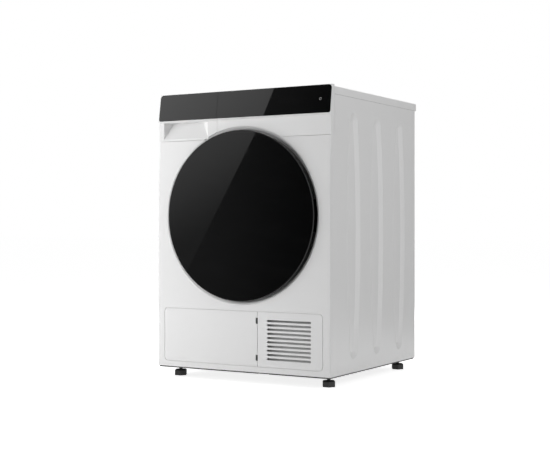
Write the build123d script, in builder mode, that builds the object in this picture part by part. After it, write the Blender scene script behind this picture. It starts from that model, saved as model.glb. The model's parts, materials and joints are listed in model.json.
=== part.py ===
from build123d import *

import math
import os

# Front-loading heat-pump clothes dryer. Millimetres, X to the right as seen from the front, the front faces
# -Y, Z up. The origin is on the floor under the middle of the machine.

# Cabinet
CABINET_WIDTH = 597.0
BODY_DEPTH = 590.0
WORKTOP_TOP = 861.0
PANEL_BOTTOM = 35.0
SHEET = 1.0
FRONT_SHEET = 1.5
FRONT_RETURN = 5.0
FRONT_CORNER_R = 3.0
FLANGE_WIDTH = 15.0
SEAM = 0.8
FIT = 0.3
RUNNING = 0.05

# Front profile: flush below, one S bend, set back above
SET_BACK = 6.6
BEND_LOW = 591.0
BEND_HIGH = 706.0
STRIP_Z = 722.0

# Side panel beads
BEAD_DEPTHS = (147.0, 305.0, 465.0)
BEAD_Z = 433.5
BEAD_HALF_LENGTH = 359.5
BEAD_HALF_WIDTH = 45.0
BEAD_END_WIDTH = 27.0
BEAD_WALL = 20.0
BEAD_DEPTH = 6.0

# Worktop
WORKTOP_THICK = 23.0
WORKTOP_WALL = 3.0
WORKTOP_EDGE_R = 2.5
WORKTOP_GROOVE = 0.5
WORKTOP_OVERHANG = 11.0
BRACE_WIDTH = 25.0
BRACE_HEIGHT = 12.0
BRACE_FRONT = 40.0

# Control panel and fascia glass
CONSOLE_DEPTH = 27.0
CONSOLE_WALL = 3.5
FASCIA_Z = 784.0
FASCIA_SET_BACK = 1.0
FASCIA_RUN = 11.6
FASCIA_RISE = 4.5
FASCIA_LIP = 2.0
FASCIA_GLASS = 3.0
FASCIA_RELIEF = 0.6
FASCIA_MARGIN = 1.0
FASCIA_TOP_R = 11.0
FASCIA_BOTTOM_R = 6.0
UNDERCUT = 3.5
DRAWER_SEAM_X = -86.5
BOARD_THICK = 1.6
BOARD_WIDTH = 300.0
BOARD_HEIGHT = 46.0
CHIP_SIZES = (14.0, 18.0, 22.0, 14.0, 18.0)
CHIP_HEIGHT = 2.5
POST_R = 4.0

# Water tank drawer
TANK_WALL = 2.5
TANK_MARGIN_LEFT = 10.5
TANK_MARGIN_RIGHT = 5.6
TANK_FLOOR_Z = 784.0
TANK_HEIGHT = 50.0
TANK_FRONT_DEPTH = 20.0
TANK_LENGTH = 470.0
TRAY_WALL = 2.0
TRAY_SIDE_GAP = 3.0
TANK_RIB = 18.0
SCOOP_LEFT = -282.0
SCOOP_RIGHT = -119.0
SCOOP_LOW = 727.0
SCOOP_DEPTH = 28.5
SCOOP_SLANT_LEFT = 15.0
SCOOP_SLANT_RIGHT = 34.0
SCOOP_END = 2.0
SPOUT_R = 16.0

# Door and its recess
DOOR_Z = 493.0
GLASS_R = 252.0
GLASS_PROUD = 11.5
GLASS_THICK = 4.0
GLASS_EDGE_R = 1.5
RECESS_R = 263.0
RECESS_DEPTH = 24.0
LOAD_R = 200.0
LOAD_LIP = 6.0
RIM_R = 250.5
RIM_TAPER = 3.0
RIM_WALL = 3.0
RIM_INNER_R = 196.0
RIM_BACK_GAP = 4.0
BOWL_FLANGE_R = 204.0
BOWL_R = 190.0
BOWL_END_R = 168.0
BOWL_DEPTH = 38.0
SEAL_INNER_R = 203.0
SEAL_OUTER_R = 215.0
SEAL_CHAMFER = 1.5
GRIP_HALF_HEIGHT = 46.0
HINGE_X = -243.0
HINGE_DEPTH = -2.0
HINGE_PIN_R = 3.0
KNUCKLE_R = 5.0
LEAF_HALF_HEIGHT = 22.0
LEAF_REACH = 31.0
ARM_LENGTH = 16.0
ARM_THICK = 5.0
ARM_GAP = 2.0
POCKET_GAP = 8.0
POCKET_SIDE_GAP = 4.0
BRACKET_THICK = 3.0
BRACKET_LEFT = 13.0
BRACKET_RIGHT = 18.0
BRACKET_MARGIN = 4.0
LATCH_X = 234.0
HOOK_WIDTH = 8.0
HOOK_HEIGHT = 10.0
HOOK_LENGTH = 15.0
HOOK_SIDE_GAP = 4.0
HOOK_END_GAP = 2.0
LATCH_SIDE = 7.0
LATCH_END = 10.0
LATCH_DEPTH = 24.0

# Drum and its supports
DRUM_R = 283.0
DRUM_SHEET = 0.8
DRUM_FRONT = 97.0
DRUM_BACK = 520.0
LIP_R = 250.0
LIP_LENGTH = 14.0
COLLAR_R = 246.0
COLLAR_THICK = 10.0
COLLAR_START = 93.0
COLLAR_END = 110.0
BULKHEAD_WALL = 4.0
FLANGE_R = 212.0
FELT_THICK = 3.4
LIFTER_COUNT = 3
LIFTER_HEIGHT = 55.0
LIFTER_BASE = 38.0
LIFTER_TOP = 13.0
LIFTER_WALL = 3.0
LIFTER_START = 30.0
HOLE_R = 4.0
HOLE_RINGS = (90.0, 120.0, 150.0, 180.0, 210.0, 240.0)
HOLE_SPACING = 24.0
SHAFT_R = 12.0
SPIDER_THICK = 5.0
BEARING_R = 24.0
BEARING_LENGTH = 22.0
BEARING_FLANGE_R = 55.0
BEARING_FLANGE = 4.0
DUCT_R = 268.0
DUCT_WALL = 3.0
DUCT_GAP = 6.0
ROLLER_R = 35.0
ROLLER_WIDTH = 22.0
ROLLER_X = 174.0
AXLE_R = 6.0
ROLLER_EAR = 48.0
EAR_THICK = 6.0
ROLLER_SETBACK = 7.0
ROLLER_GROOVE = 5.0
ROLLER_TREAD = 6.0
ROLLER_CHAMFER = 2.0

# Drive
BELT_DEPTH = 300.0
BELT_WIDTH = 9.0
BELT_THICK = 3.0
MOTOR_X = 165.0
MOTOR_Z = 146.0
MOTOR_R = 62.0
MOTOR_FRONT = 325.0
MOTOR_LENGTH = 145.0
MOTOR_SHAFT_R = 7.0
MOTOR_EDGE_R = 8.0
MOTOR_NOSE = 6.0
SHAFT_END = 6.0
PULLEY_CHEEK = 2.0
PULLEY_R = 8.5
IDLER_R = 20.0
IDLER_RISE = 70.0
IDLER_AXLE_R = 4.0
MOUNT_PLATE = 6.0
MOUNT_MARGIN = 2.0
IDLER_PLATE = 4.0
BLOWER_R = 75.0
BLOWER_FRONT = 530.0
BLOWER_WIDTH = 42.0
BLOWER_BLADES = 20
BLOWER_PLATE = 3.0
BLOWER_CHORD = 18.0
BLOWER_PITCH = 35.0
BLOWER_CASE_R = 92.0
BLOWER_INLET_R = 55.0

# Lint filter
FILTER_WIDTH = 164.0
FILTER_THICK = 16.0
FILTER_DEPTH = 67.0
FILTER_LOW = 156.0
FILTER_HIGH = 266.0
FILTER_FRAME = 9.0
MESH_COLUMNS = 16
MESH_ROWS = 9
MESH_BAR = 2.0

# Heat pump
HOUSING_LEFT = -282.0
HOUSING_RIGHT = 99.0
HOUSING_FRONT = 46.0
HOUSING_BACK = 290.0
HOUSING_TOP = 186.0
HOUSING_WALL = 3.0
EXCHANGER_LOW = 40.0
EXCHANGER_HIGH = 176.0
EVAPORATOR_FRONT = 95.0
CONDENSER_FRONT = 192.0
EXCHANGER_DEPTH = 85.0
FIN_PITCH = 12.0
FIN_THICK = 1.5
TUBE_COLUMNS = 3
TUBE_ROWS = 4
COVER_THICK = 8.0
COVER_LAP = 12.0
COVER_CORNER_R = 6.0
LEVER_INSET = 22.0
LEVER_HUB_R = 9.0
LEVER_LENGTH = 46.0
LEVER_THICK = 8.0
LEVER_PIN_R = 4.0
LEVER_SLIM = 0.7
COMPRESSOR_X = 180.0
COMPRESSOR_DEPTH = 205.0
COMPRESSOR_R = 60.0
COMPRESSOR_LOW = 46.0
COMPRESSOR_HIGH = 218.0
COMPRESSOR_DOME = 25.0
COMPRESSOR_FEET = 3
COMPRESSOR_FOOT_R = 8.0
PIPE_R = 4.0
PIPE_BEND_R = 12.0
PIPE_REACH_FRONT = 20.0
PIPE_REACH_BACK = 18.0
PIPE_HIGH_Z = 149.0
PIPE_LOW_Z = 99.0
FAN_X = 165.0
FAN_Z = 131.0
FAN_R = 56.0
FAN_FRONT = 31.0
FAN_WIDTH = 13.0
FAN_BLADES = 7
FAN_HUB_R = 21.0
FAN_AXLE_R = 3.0
FAN_TIP_GAP = 2.0
FAN_HUB_EDGE_R = 3.0
BLADE_WIDTH = 16.0
BLADE_THICK = 2.0
BLADE_TILT = 35.0
BLADE_ROOT = 1.0
SHROUD_DEPTH = 28.0
SHROUD_HALF = 66.0
SHROUD_LENGTH = 28.0
SPOKE_COUNT = 4
SPOKE_START = 45.0
SPOKE_WIDTH = 6.0
SPOKE_THICK = 4.0
PUMP_X = -210.0
PUMP_DEPTH = 480.0
PUMP_TOP = 90.0
PUMP_HALF_WIDTH = 30.0
PUMP_HALF_DEPTH = 35.0
PUMP_STEP = 22.0
PUMP_EDGE_R = 5.0
PUMP_MOTOR_BACK = 12.0
PUMP_MOTOR_R = 20.0
PUMP_MOTOR_RISE = 20.0
PORT_FRONT = 22.0
PORT_WALL = 2.0
HOSE_R = 5.0
HOSE_DROP = 20.0
HOSE_REAR_GAP = 28.0
HOSE_RISE = 60.0
HOSE_TURN_RISE = 110.0
HOSE_BEND_R = 28.0

# Service flap and grille
SERVICE_HALF_WIDTH = 274.5
SERVICE_LOW = 52.0
SERVICE_HIGH = 213.0
SERVICE_R = 12.0
SERVICE_EASE = 0.6
FLAP_THICK = 2.5
FLAP_EDGE_X = 58.0
FLAP_GAP = 1.6
FLAP_AXIS_X = 56.5
FLAP_AXIS_DEPTH = 2.0
FLAP_PIN_R = 1.0
FLAP_NOTCH_X = 52.4
FLAP_HINGE_ZS = (78.0, 186.0)
FLAP_HINGE_HEIGHT = 16.0
LUG_LENGTH = 10.0
FLAP_RIB = 3.0
FLAP_RIB_THICK = 2.0
HINGE_STRAP = 3.0
MULLION = 10.0
FRAME_LAP = 8.0
FRAME_BACK = 6.0
SLOT_COUNT = 10
SLOT_LEFT = 91.0
SLOT_RIGHT = 237.0
SLOT_TOP_Z = 187.0
SLOT_PITCH = 12.33
SLOT_HEIGHT = 6.3

# Base tray and feet
TRAY_BOTTOM = 31.0
TRAY_TOP = 72.0
BASE_WALL = 3.0
BASE_INSET = 3.0
BASE_FRONT = 7.5
NOTCH_WIDTH = 38.0
FOOT_X = 260.0
FOOT_FRONT_DEPTH = 65.0
FOOT_REAR_DEPTH = 541.0
FOOT_ACROSS = 41.0
FOOT_HEIGHT = 18.5
FOOT_LOW_CHAMFER = 1.5
FOOT_TOP_CHAMFER = 3.0
STEM_R = 4.95
STEM_TOP = 58.0
BOSS_R = 14.0
BOSS_TOP = 64.0
NUT_ACROSS = 17.0
NUT_HEIGHT = 6.5

# Rear panel
BULGE_OUTER_R = 252.0
BULGE_INNER_R = 90.0
BULGE_SLOPE = 14.0
BULGE_HEIGHT = 7.0
SCREW_R = 2.0
SCREW_HEAD_R = 4.5
SCREW_HEAD_HEIGHT = 2.2
SCREW_LENGTH = 8.0
SCREW_ROWS = 6
SCREW_LOW = 65.0
SCREW_HIGH = 35.0
GLAND_X = -240.0
GLAND_Z = 112.0
GLAND_R = 10.0
GLAND_BORE_R = 4.5
GLAND_INSIDE = 6.0
GLAND_OUTSIDE = 7.0
GLAND_LIP = 4.0
VENT_LENGTH = 90.0
VENT_HEIGHT = 5.0
VENT_PITCH = 11.0
VENT_ROWS = 8
VENT_PLACES = ((165.0, 110.0), (-200.0, 780.0), (200.0, 780.0))

# Places worked out from the sizes
HALF_W = CABINET_WIDTH / 2
OVERALL_DEPTH = GLASS_PROUD + BODY_DEPTH + WORKTOP_OVERHANG
FRONT_Y = -OVERALL_DEPTH / 2 + GLASS_PROUD
BACK_Y = FRONT_Y + BODY_DEPTH
REAR_FACE_Y = BACK_Y - SHEET
REAR_INNER_Y = REAR_FACE_Y - SHEET
SIDE_INNER_X = HALF_W - SHEET
SIDE_SHIFT = FRONT_RETURN + SEAM / 2
CONSOLE_BACK_Y = FRONT_Y + CONSOLE_DEPTH
STRIP_Y = FRONT_Y + SET_BACK
WORKTOP_BOTTOM = WORKTOP_TOP - WORKTOP_THICK
TOTAL_HEIGHT = WORKTOP_TOP + FASCIA_RISE
DISH_Y = FRONT_Y + RECESS_DEPTH
DISH_BACK_Y = DISH_Y + FRONT_SHEET
GLASS_BACK_Y = FRONT_Y - GLASS_PROUD + GLASS_THICK
RIM_BACK_Y = DISH_Y - RIM_BACK_GAP
HINGE_Y = FRONT_Y + HINGE_DEPTH
BASE_FLOOR = TRAY_BOTTOM + BASE_WALL
FOOT_YS = {"front": FRONT_Y + FOOT_FRONT_DEPTH, "rear": FRONT_Y + FOOT_REAR_DEPTH}
DRUM_AXIS = Axis((0, 0, DOOR_Z), (0, 1, 0))
ROLLER_DISTANCE = DRUM_R + ROLLER_R + FIT
ROLLER_Z = DOOR_Z - math.sqrt(ROLLER_DISTANCE**2 - ROLLER_X**2)
SERVICE_Z = (SERVICE_LOW + SERVICE_HIGH) / 2
SERVICE_HEIGHT = SERVICE_HIGH - SERVICE_LOW

os.makedirs("parts", exist_ok=True)


def behind(depth):
    """Y of a point that lies this far behind the front plane of the cabinet."""
    return FRONT_Y + depth


def block(x_low, x_high, y_low, y_high, z_low, z_high, mode=Mode.ADD):
    """A box between two corners."""
    with Locations(((x_low + x_high) / 2, (y_low + y_high) / 2, (z_low + z_high) / 2)):
        Box(x_high - x_low, y_high - y_low, z_high - z_low, mode=mode)


def rod_y(x, z, y_low, y_high, radius, bore=0.0, mode=Mode.ADD):
    """A rod, or a tube where it has a bore, along Y."""
    with BuildSketch(Plane.XZ.offset(-y_low)) as section:
        with Locations((x, z)):
            Circle(radius)
            if bore:
                Circle(bore, mode=Mode.SUBTRACT)
    extrude(section.sketch, amount=-(y_high - y_low), mode=mode)


def rod_z(x, y, z_low, z_high, radius, bore=0.0, mode=Mode.ADD):
    """A rod, or a tube where it has a bore, along Z."""
    with BuildSketch(Plane.XY.offset(z_low)) as section:
        with Locations((x, y)):
            Circle(radius)
            if bore:
                Circle(bore, mode=Mode.SUBTRACT)
    extrude(section.sketch, amount=z_high - z_low, mode=mode)


def turned(points, mode=Mode.ADD):
    """A profile of (radius, y) points turned about the drum and door axis."""
    with BuildSketch(Plane.XY.offset(DOOR_Z)) as section:
        with BuildLine():
            Polyline(*points, close=True)
        make_face()
    revolve(section.sketch, axis=DRUM_AXIS, mode=mode)


def save(builder, name):
    """Label a finished piece and write it."""
    builder.part.label = name
    export_step(builder.part, f"parts/{name}.step")


# The front profile, seen from the side
def front_curve(shift, z_low, z_high):
    """Flush below, one S bend of two tangent arcs, set back above."""
    y_low = FRONT_Y + shift
    y_high = y_low + SET_BACK
    middle = ((y_low + y_high) / 2, (BEND_LOW + BEND_HIGH) / 2)
    Line((y_low, z_low), (y_low, BEND_LOW))
    TangentArc((y_low, BEND_LOW), middle, tangent=(0, 1))
    TangentArc((y_high, BEND_HIGH), middle, tangent=(0, -1))
    Line((y_high, BEND_HIGH), (y_high, z_high))


def front_slab(shift_front, shift_back, x_low, x_high, z_low, z_high, mode=Mode.ADD):
    """A slab that follows the front profile between two shifts."""
    with BuildSketch(Plane.YZ.offset(x_low)) as section:
        with BuildLine():
            front_curve(shift_front, z_low, z_high)
            front_curve(shift_back, z_low, z_high)
            Line((FRONT_Y + shift_front, z_low), (FRONT_Y + shift_back, z_low))
            Line((STRIP_Y + shift_front, z_high), (STRIP_Y + shift_back, z_high))
        make_face()
    extrude(section.sketch, amount=x_high - x_low, mode=mode)


def front_block(inset, shift_back, corner_r):
    """The front panel's block with rounded upright corners, drawn in by an inset."""
    half = HALF_W - inset
    with BuildPart() as front_solid:
        front_slab(inset, shift_back, -half, half, PANEL_BOTTOM + inset, STRIP_Z - SEAM - inset)
        front_faces = front_solid.faces().filter_by(lambda face: face.normal_at().Y < -0.9)
        upright = front_faces.edges().filter_by(lambda edge: abs(edge.center().X) > half - 0.01)
        fillet(upright, corner_r)
    return front_solid.part


def recess_dish():
    """The round recess for the door, trimmed to the front profile and to the back of the strip."""
    with BuildPart() as dish:
        turned([
            (RECESS_R, FRONT_Y),
            (RECESS_R + FRONT_SHEET, FRONT_Y),
            (RECESS_R + FRONT_SHEET, DISH_BACK_Y),
            (LOAD_R + FRONT_SHEET, DISH_BACK_Y),
            (LOAD_R + FRONT_SHEET, DISH_Y + LOAD_LIP),
            (LOAD_R, DISH_Y + LOAD_LIP),
            (LOAD_R, DISH_Y),
            (RECESS_R, DISH_Y),
        ])
        front_slab(-SET_BACK - FRONT_RETURN, 0, -HALF_W, HALF_W, PANEL_BOTTOM, STRIP_Z - SEAM, Mode.SUBTRACT)
        strip_back = STRIP_Y + CONSOLE_WALL + FIT
        block(-HALF_W, HALF_W, FRONT_Y - SEAM, strip_back, STRIP_Z - SEAM, TOTAL_HEIGHT, Mode.SUBTRACT)
    return dish.part


# Front panel: pressed steel with the round recess, the loading hole and the service opening
front_outside = front_block(0, FRONT_RETURN, FRONT_CORNER_R)
front_hollow = front_block(FRONT_SHEET, FRONT_RETURN + FRONT_SHEET, FRONT_CORNER_R - FRONT_SHEET / 2)
door_dish = recess_dish()
with BuildPart() as front_panel:
    add(front_outside)
    add(front_hollow, mode=Mode.SUBTRACT)
    cut_back_y = STRIP_Y + FRONT_RETURN + SEAM
    rod_y(0, DOOR_Z, FRONT_Y - SEAM, cut_back_y, RECESS_R + FRONT_SHEET / 2, mode=Mode.SUBTRACT)
    add(door_dish)
    with BuildSketch(Plane.XZ.offset(-FRONT_Y)):
        with Locations((0, SERVICE_Z)):
            RectangleRounded(
                2 * (SERVICE_HALF_WIDTH + SEAM), SERVICE_HEIGHT + 2 * SEAM, SERVICE_R + SEAM
            )
    extrude(amount=-FRONT_RETURN, mode=Mode.SUBTRACT)
    slot_half = HOOK_WIDTH / 2 + HOOK_SIDE_GAP
    slot_tall = HOOK_HEIGHT / 2 + HOOK_END_GAP
    block(
        LATCH_X - slot_half, LATCH_X + slot_half, DISH_Y - SEAM, DISH_BACK_Y + SEAM,
        DOOR_Z - slot_tall, DOOR_Z + slot_tall, Mode.SUBTRACT,
    )
save(front_panel, "front_panel")


# Side panels: folded sheet with three long lens-shaped beads pressed in
SCREW_X = HALF_W - FLANGE_WIDTH / 2
SCREW_BOTTOM_Z = PANEL_BOTTOM + SCREW_LOW
SCREW_ZS = [
    SCREW_BOTTOM_Z + row * (WORKTOP_BOTTOM - SCREW_HIGH - SCREW_BOTTOM_Z) / (SCREW_ROWS - 1)
    for row in range(SCREW_ROWS)
]


def bead_outline(x, y, half_length, half_width, end_width):
    """A long outline with bowed sides and round ends."""
    straight = half_length - end_width
    with BuildSketch(Plane((x, y, BEAD_Z), x_dir=(0, 1, 0), z_dir=(1, 0, 0))) as outline:
        with BuildLine():
            ThreePointArc((end_width, -straight), (half_width, 0), (end_width, straight))
            ThreePointArc((end_width, straight), (0, half_length), (-end_width, straight))
            ThreePointArc((-end_width, straight), (-half_width, 0), (-end_width, -straight))
            ThreePointArc((-end_width, -straight), (0, -half_length), (end_width, -straight))
        make_face()
    return outline.sketch


def bead(side, y, sunk, mode):
    """One bead between its mouth and its floor, moved inwards by a thickness."""
    mouth_x = side * (HALF_W - sunk)
    floor_x = side * (HALF_W - sunk - BEAD_DEPTH)
    mouth = bead_outline(mouth_x, y, BEAD_HALF_LENGTH, BEAD_HALF_WIDTH, BEAD_END_WIDTH)
    floor = bead_outline(
        floor_x, y, BEAD_HALF_LENGTH - BEAD_WALL, BEAD_HALF_WIDTH - BEAD_WALL, BEAD_END_WIDTH - BEAD_WALL
    )
    loft([mouth, floor], mode=mode)


def side_panel(side):
    """One side panel with its flanges, beads and screw holes."""
    inner = side * (HALF_W - FLANGE_WIDTH)
    x_low = min(inner, side * HALF_W)
    x_high = max(inner, side * HALF_W)
    with BuildPart() as panel:
        with BuildSketch(Plane.YZ.offset(side * HALF_W)):
            with BuildLine():
                front_curve(SIDE_SHIFT, PANEL_BOTTOM, STRIP_Z)
                Polyline(
                    (STRIP_Y + SIDE_SHIFT, STRIP_Z),
                    (CONSOLE_BACK_Y + SEAM, STRIP_Z),
                    (CONSOLE_BACK_Y + SEAM, WORKTOP_BOTTOM),
                    (BACK_Y, WORKTOP_BOTTOM),
                    (BACK_Y, PANEL_BOTTOM),
                    (FRONT_Y + SIDE_SHIFT, PANEL_BOTTOM),
                )
            make_face()
        extrude(amount=-side * SHEET)
        for depth in BEAD_DEPTHS:
            bead(side, behind(depth), SHEET, Mode.ADD)
            bead(side, behind(depth), 0, Mode.SUBTRACT)
        front_slab(SIDE_SHIFT, SIDE_SHIFT + SHEET, x_low, x_high, TRAY_TOP + FIT, STRIP_Z)
        block(x_low, x_high, BACK_Y - SHEET, BACK_Y, PANEL_BOTTOM, WORKTOP_BOTTOM)
        block(x_low, x_high, CONSOLE_BACK_Y + SEAM, BACK_Y, WORKTOP_BOTTOM - SHEET, WORKTOP_BOTTOM)
        for z in SCREW_ZS:
            rod_y(
                side * SCREW_X, z, BACK_Y - 2 * SHEET, BACK_Y + SHEET, SCREW_R + RUNNING, mode=Mode.SUBTRACT
            )
    return panel


side_panel_left = side_panel(-1)
save(side_panel_left, "side_panel_left")
side_panel_right = side_panel(1)
save(side_panel_right, "side_panel_right")


# Rear panel: sheet with a round raised channel, vent slots and the hole for the cord gland
with BuildPart() as rear_panel:
    block(
        -SIDE_INNER_X + FIT, SIDE_INNER_X - FIT, REAR_INNER_Y, REAR_FACE_Y, PANEL_BOTTOM + SHEET,
        WORKTOP_BOTTOM - SHEET - FIT,
    )
    rod_y(0, DOOR_Z, REAR_INNER_Y, REAR_FACE_Y, BULGE_OUTER_R - SHEET, BULGE_INNER_R + SHEET, Mode.SUBTRACT)
    crest_y = REAR_INNER_Y + BULGE_HEIGHT
    turned([
        (BULGE_OUTER_R, REAR_INNER_Y),
        (BULGE_OUTER_R - BULGE_SLOPE, crest_y),
        (BULGE_INNER_R + BULGE_SLOPE, crest_y),
        (BULGE_INNER_R, REAR_INNER_Y),
        (BULGE_INNER_R, REAR_FACE_Y),
        (BULGE_INNER_R + BULGE_SLOPE, crest_y + SHEET),
        (BULGE_OUTER_R - BULGE_SLOPE, crest_y + SHEET),
        (BULGE_OUTER_R, REAR_FACE_Y),
    ])
    for vent_x, vent_z in VENT_PLACES:
        with BuildSketch(Plane.XZ.offset(-REAR_INNER_Y)):
            with Locations((vent_x, vent_z)):
                with GridLocations(1, VENT_PITCH, 1, VENT_ROWS):
                    SlotOverall(VENT_LENGTH, VENT_HEIGHT)
        extrude(amount=-SHEET, mode=Mode.SUBTRACT)
    rod_y(GLAND_X, GLAND_Z, REAR_INNER_Y - SHEET, REAR_FACE_Y + SHEET, GLAND_R, mode=Mode.SUBTRACT)
    for side in (-1, 1):
        for z in SCREW_ZS:
            rod_y(
                side * SCREW_X, z, REAR_INNER_Y - SHEET, REAR_FACE_Y, SCREW_R + RUNNING, mode=Mode.SUBTRACT
            )
save(rear_panel, "rear_panel")

with BuildPart() as rear_screws:
    for side in (-1, 1):
        for z in SCREW_ZS:
            rod_y(side * SCREW_X, z, BACK_Y, BACK_Y + SCREW_HEAD_HEIGHT, SCREW_HEAD_R)
            rod_y(side * SCREW_X, z, BACK_Y - SCREW_LENGTH, BACK_Y, SCREW_R)
save(rear_screws, "rear_screws")

with BuildPart() as cord_gland:
    rod_y(GLAND_X, GLAND_Z, REAR_INNER_Y - GLAND_INSIDE, REAR_FACE_Y, GLAND_R - RUNNING, GLAND_BORE_R)
    rod_y(GLAND_X, GLAND_Z, REAR_FACE_Y, REAR_FACE_Y + GLAND_OUTSIDE, GLAND_R + GLAND_LIP, GLAND_BORE_R)
    outer_rim = cord_gland.edges().filter_by(GeomType.CIRCLE).group_by(Axis.Y)[-1]
    chamfer(outer_rim.sort_by(SortBy.RADIUS)[-1], GLAND_LIP / 2)
save(cord_gland, "cord_gland")


# Worktop: hollow slab with a skirt, and the two braces under it
with BuildPart() as worktop:
    worktop_front = CONSOLE_BACK_Y + SEAM
    worktop_back = BACK_Y + WORKTOP_OVERHANG
    block(-HALF_W, HALF_W, worktop_front, worktop_back, WORKTOP_BOTTOM, WORKTOP_TOP)
    fillet(worktop.edges().group_by(Axis.Z)[-1], WORKTOP_EDGE_R)
    block(
        -HALF_W + WORKTOP_WALL, HALF_W - WORKTOP_WALL, worktop_front + WORKTOP_WALL,
        worktop_back - WORKTOP_WALL, WORKTOP_BOTTOM, WORKTOP_TOP - WORKTOP_WALL, Mode.SUBTRACT,
    )
    for side in (-1, 1):
        groove_x = side * (HALF_W - WORKTOP_WALL / 2)
        block(
            min(groove_x, side * HALF_W), max(groove_x, side * HALF_W), worktop_front, worktop_back,
            WORKTOP_BOTTOM, WORKTOP_BOTTOM + WORKTOP_GROOVE, Mode.SUBTRACT,
        )
save(worktop, "worktop")

with BuildPart() as cross_braces:
    brace_half = HALF_W - WORKTOP_WALL - FIT
    for brace_y in (worktop_front + WORKTOP_WALL + BRACE_FRONT, BACK_Y - 2 * BRACE_WIDTH):
        block(
            -brace_half, brace_half, brace_y, brace_y + BRACE_WIDTH, WORKTOP_BOTTOM,
            WORKTOP_BOTTOM + BRACE_HEIGHT,
        )
        block(
            -brace_half, brace_half, brace_y + 2 * SHEET, brace_y + BRACE_WIDTH - 2 * SHEET,
            WORKTOP_BOTTOM + 2 * SHEET, WORKTOP_BOTTOM + BRACE_HEIGHT, Mode.SUBTRACT,
        )
save(cross_braces, "cross_braces")


# Control panel and drawer front share one profile: a set-back strip, an undercut and a leaning fascia
FASCIA_LEAN = math.atan2(FASCIA_RUN, TOTAL_HEIGHT - FASCIA_Z)
FASCIA_LENGTH = (TOTAL_HEIGHT - FASCIA_Z) / math.cos(FASCIA_LEAN) - FASCIA_RELIEF
FASCIA_PLANE = Plane(
    (0, behind(FASCIA_SET_BACK), FASCIA_Z),
    x_dir=(1, 0, 0),
    z_dir=(0, -math.cos(FASCIA_LEAN), math.sin(FASCIA_LEAN)),
)


def fascia_y(z, sunk):
    """Y of the leaning fascia at a height, sunk behind its face."""
    return behind(FASCIA_SET_BACK) + (z - FASCIA_Z) * math.tan(FASCIA_LEAN) + sunk


def console_profile(x, inset):
    """The side profile of the control panel, drawn in by an inset."""
    lip_z = FASCIA_Z - FASCIA_LIP
    with BuildSketch(Plane.YZ.offset(x)) as profile:
        with BuildLine():
            Polyline(
                (STRIP_Y, STRIP_Z),
                (STRIP_Y, lip_z - UNDERCUT),
                (fascia_y(lip_z, FASCIA_RELIEF), lip_z),
                (fascia_y(TOTAL_HEIGHT, FASCIA_RELIEF), TOTAL_HEIGHT),
                (CONSOLE_BACK_Y + inset, TOTAL_HEIGHT),
                (CONSOLE_BACK_Y + inset, STRIP_Z),
                close=True,
            )
        make_face()
        if inset:
            offset(amount=-inset, mode=Mode.REPLACE)
    return profile.sketch


def console_shell(x_low, x_high):
    """The hollow moulding between two ends, open at the back and cut round the door recess."""
    extrude(console_profile(x_low, 0), amount=x_high - x_low)
    hollow = console_profile(x_low + CONSOLE_WALL, CONSOLE_WALL)
    extrude(hollow, amount=x_high - x_low - 2 * CONSOLE_WALL, mode=Mode.SUBTRACT)
    rod_y(0, DOOR_Z, FRONT_Y - SET_BACK, STRIP_Y + CONSOLE_WALL, RECESS_R, mode=Mode.SUBTRACT)
    rod_y(0, DOOR_Z, STRIP_Y, CONSOLE_BACK_Y + SEAM, RECESS_R + FRONT_SHEET + FIT, mode=Mode.SUBTRACT)


def fascia_glass(x_low, x_high, grow, outer_end):
    """The outline of one glass on the leaning fascia, rounded at its outer end (0 left, -1 right)."""
    with BuildSketch(FASCIA_PLANE) as outline:
        with Locations(((x_low + x_high) / 2, FASCIA_LENGTH / 2)):
            Rectangle(x_high - x_low + 2 * grow, FASCIA_LENGTH + 2 * grow)
        fillet(vertices().group_by(Axis.X)[outer_end].sort_by(Axis.Y)[0], FASCIA_BOTTOM_R)
        fillet(vertices().group_by(Axis.X)[outer_end].sort_by(Axis.Y)[-1], FASCIA_TOP_R)
    return outline.sketch


CONTROL_LEFT = DRAWER_SEAM_X + SEAM / 2
DRAWER_RIGHT = DRAWER_SEAM_X - SEAM / 2
GLASS_RIGHT = HALF_W - FASCIA_MARGIN
BOARD_Y = behind(TANK_FRONT_DEPTH)
BOARD_X = (CONTROL_LEFT + GLASS_RIGHT) / 2
BOARD_Z = (FASCIA_Z + TOTAL_HEIGHT) / 2

with BuildPart() as control_panel:
    console_shell(CONTROL_LEFT, HALF_W)
    for post_x in (BOARD_X - BOARD_WIDTH / 2 + POST_R * 2, BOARD_X + BOARD_WIDTH / 2 - POST_R * 2):
        rod_y(post_x, BOARD_Z, fascia_y(BOARD_Z, CONSOLE_WALL), BOARD_Y, POST_R)
    extrude(fascia_glass(CONTROL_LEFT, GLASS_RIGHT, FIT / 2, -1), amount=-FASCIA_GLASS, mode=Mode.SUBTRACT)
save(control_panel, "control_panel")

with BuildPart() as control_glass:
    extrude(fascia_glass(CONTROL_LEFT, GLASS_RIGHT, 0, -1), amount=-FASCIA_GLASS)
save(control_glass, "control_glass")

with BuildPart() as control_board:
    board_low = BOARD_Z - BOARD_HEIGHT / 2
    board_high = BOARD_Z + BOARD_HEIGHT / 2
    board_left = BOARD_X - BOARD_WIDTH / 2
    board_back = BOARD_Y + BOARD_THICK
    block(board_left, board_left + BOARD_WIDTH, BOARD_Y, board_back, board_low, board_high)
    for chip, chip_size in enumerate(CHIP_SIZES):
        chip_x = board_left + (chip + 1) * BOARD_WIDTH / (len(CHIP_SIZES) + 1)
        block(
            chip_x - chip_size / 2, chip_x + chip_size / 2, board_back, board_back + CHIP_HEIGHT,
            BOARD_Z - chip_size / 3, BOARD_Z + chip_size / 3,
        )
save(control_board, "control_board")


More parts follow.
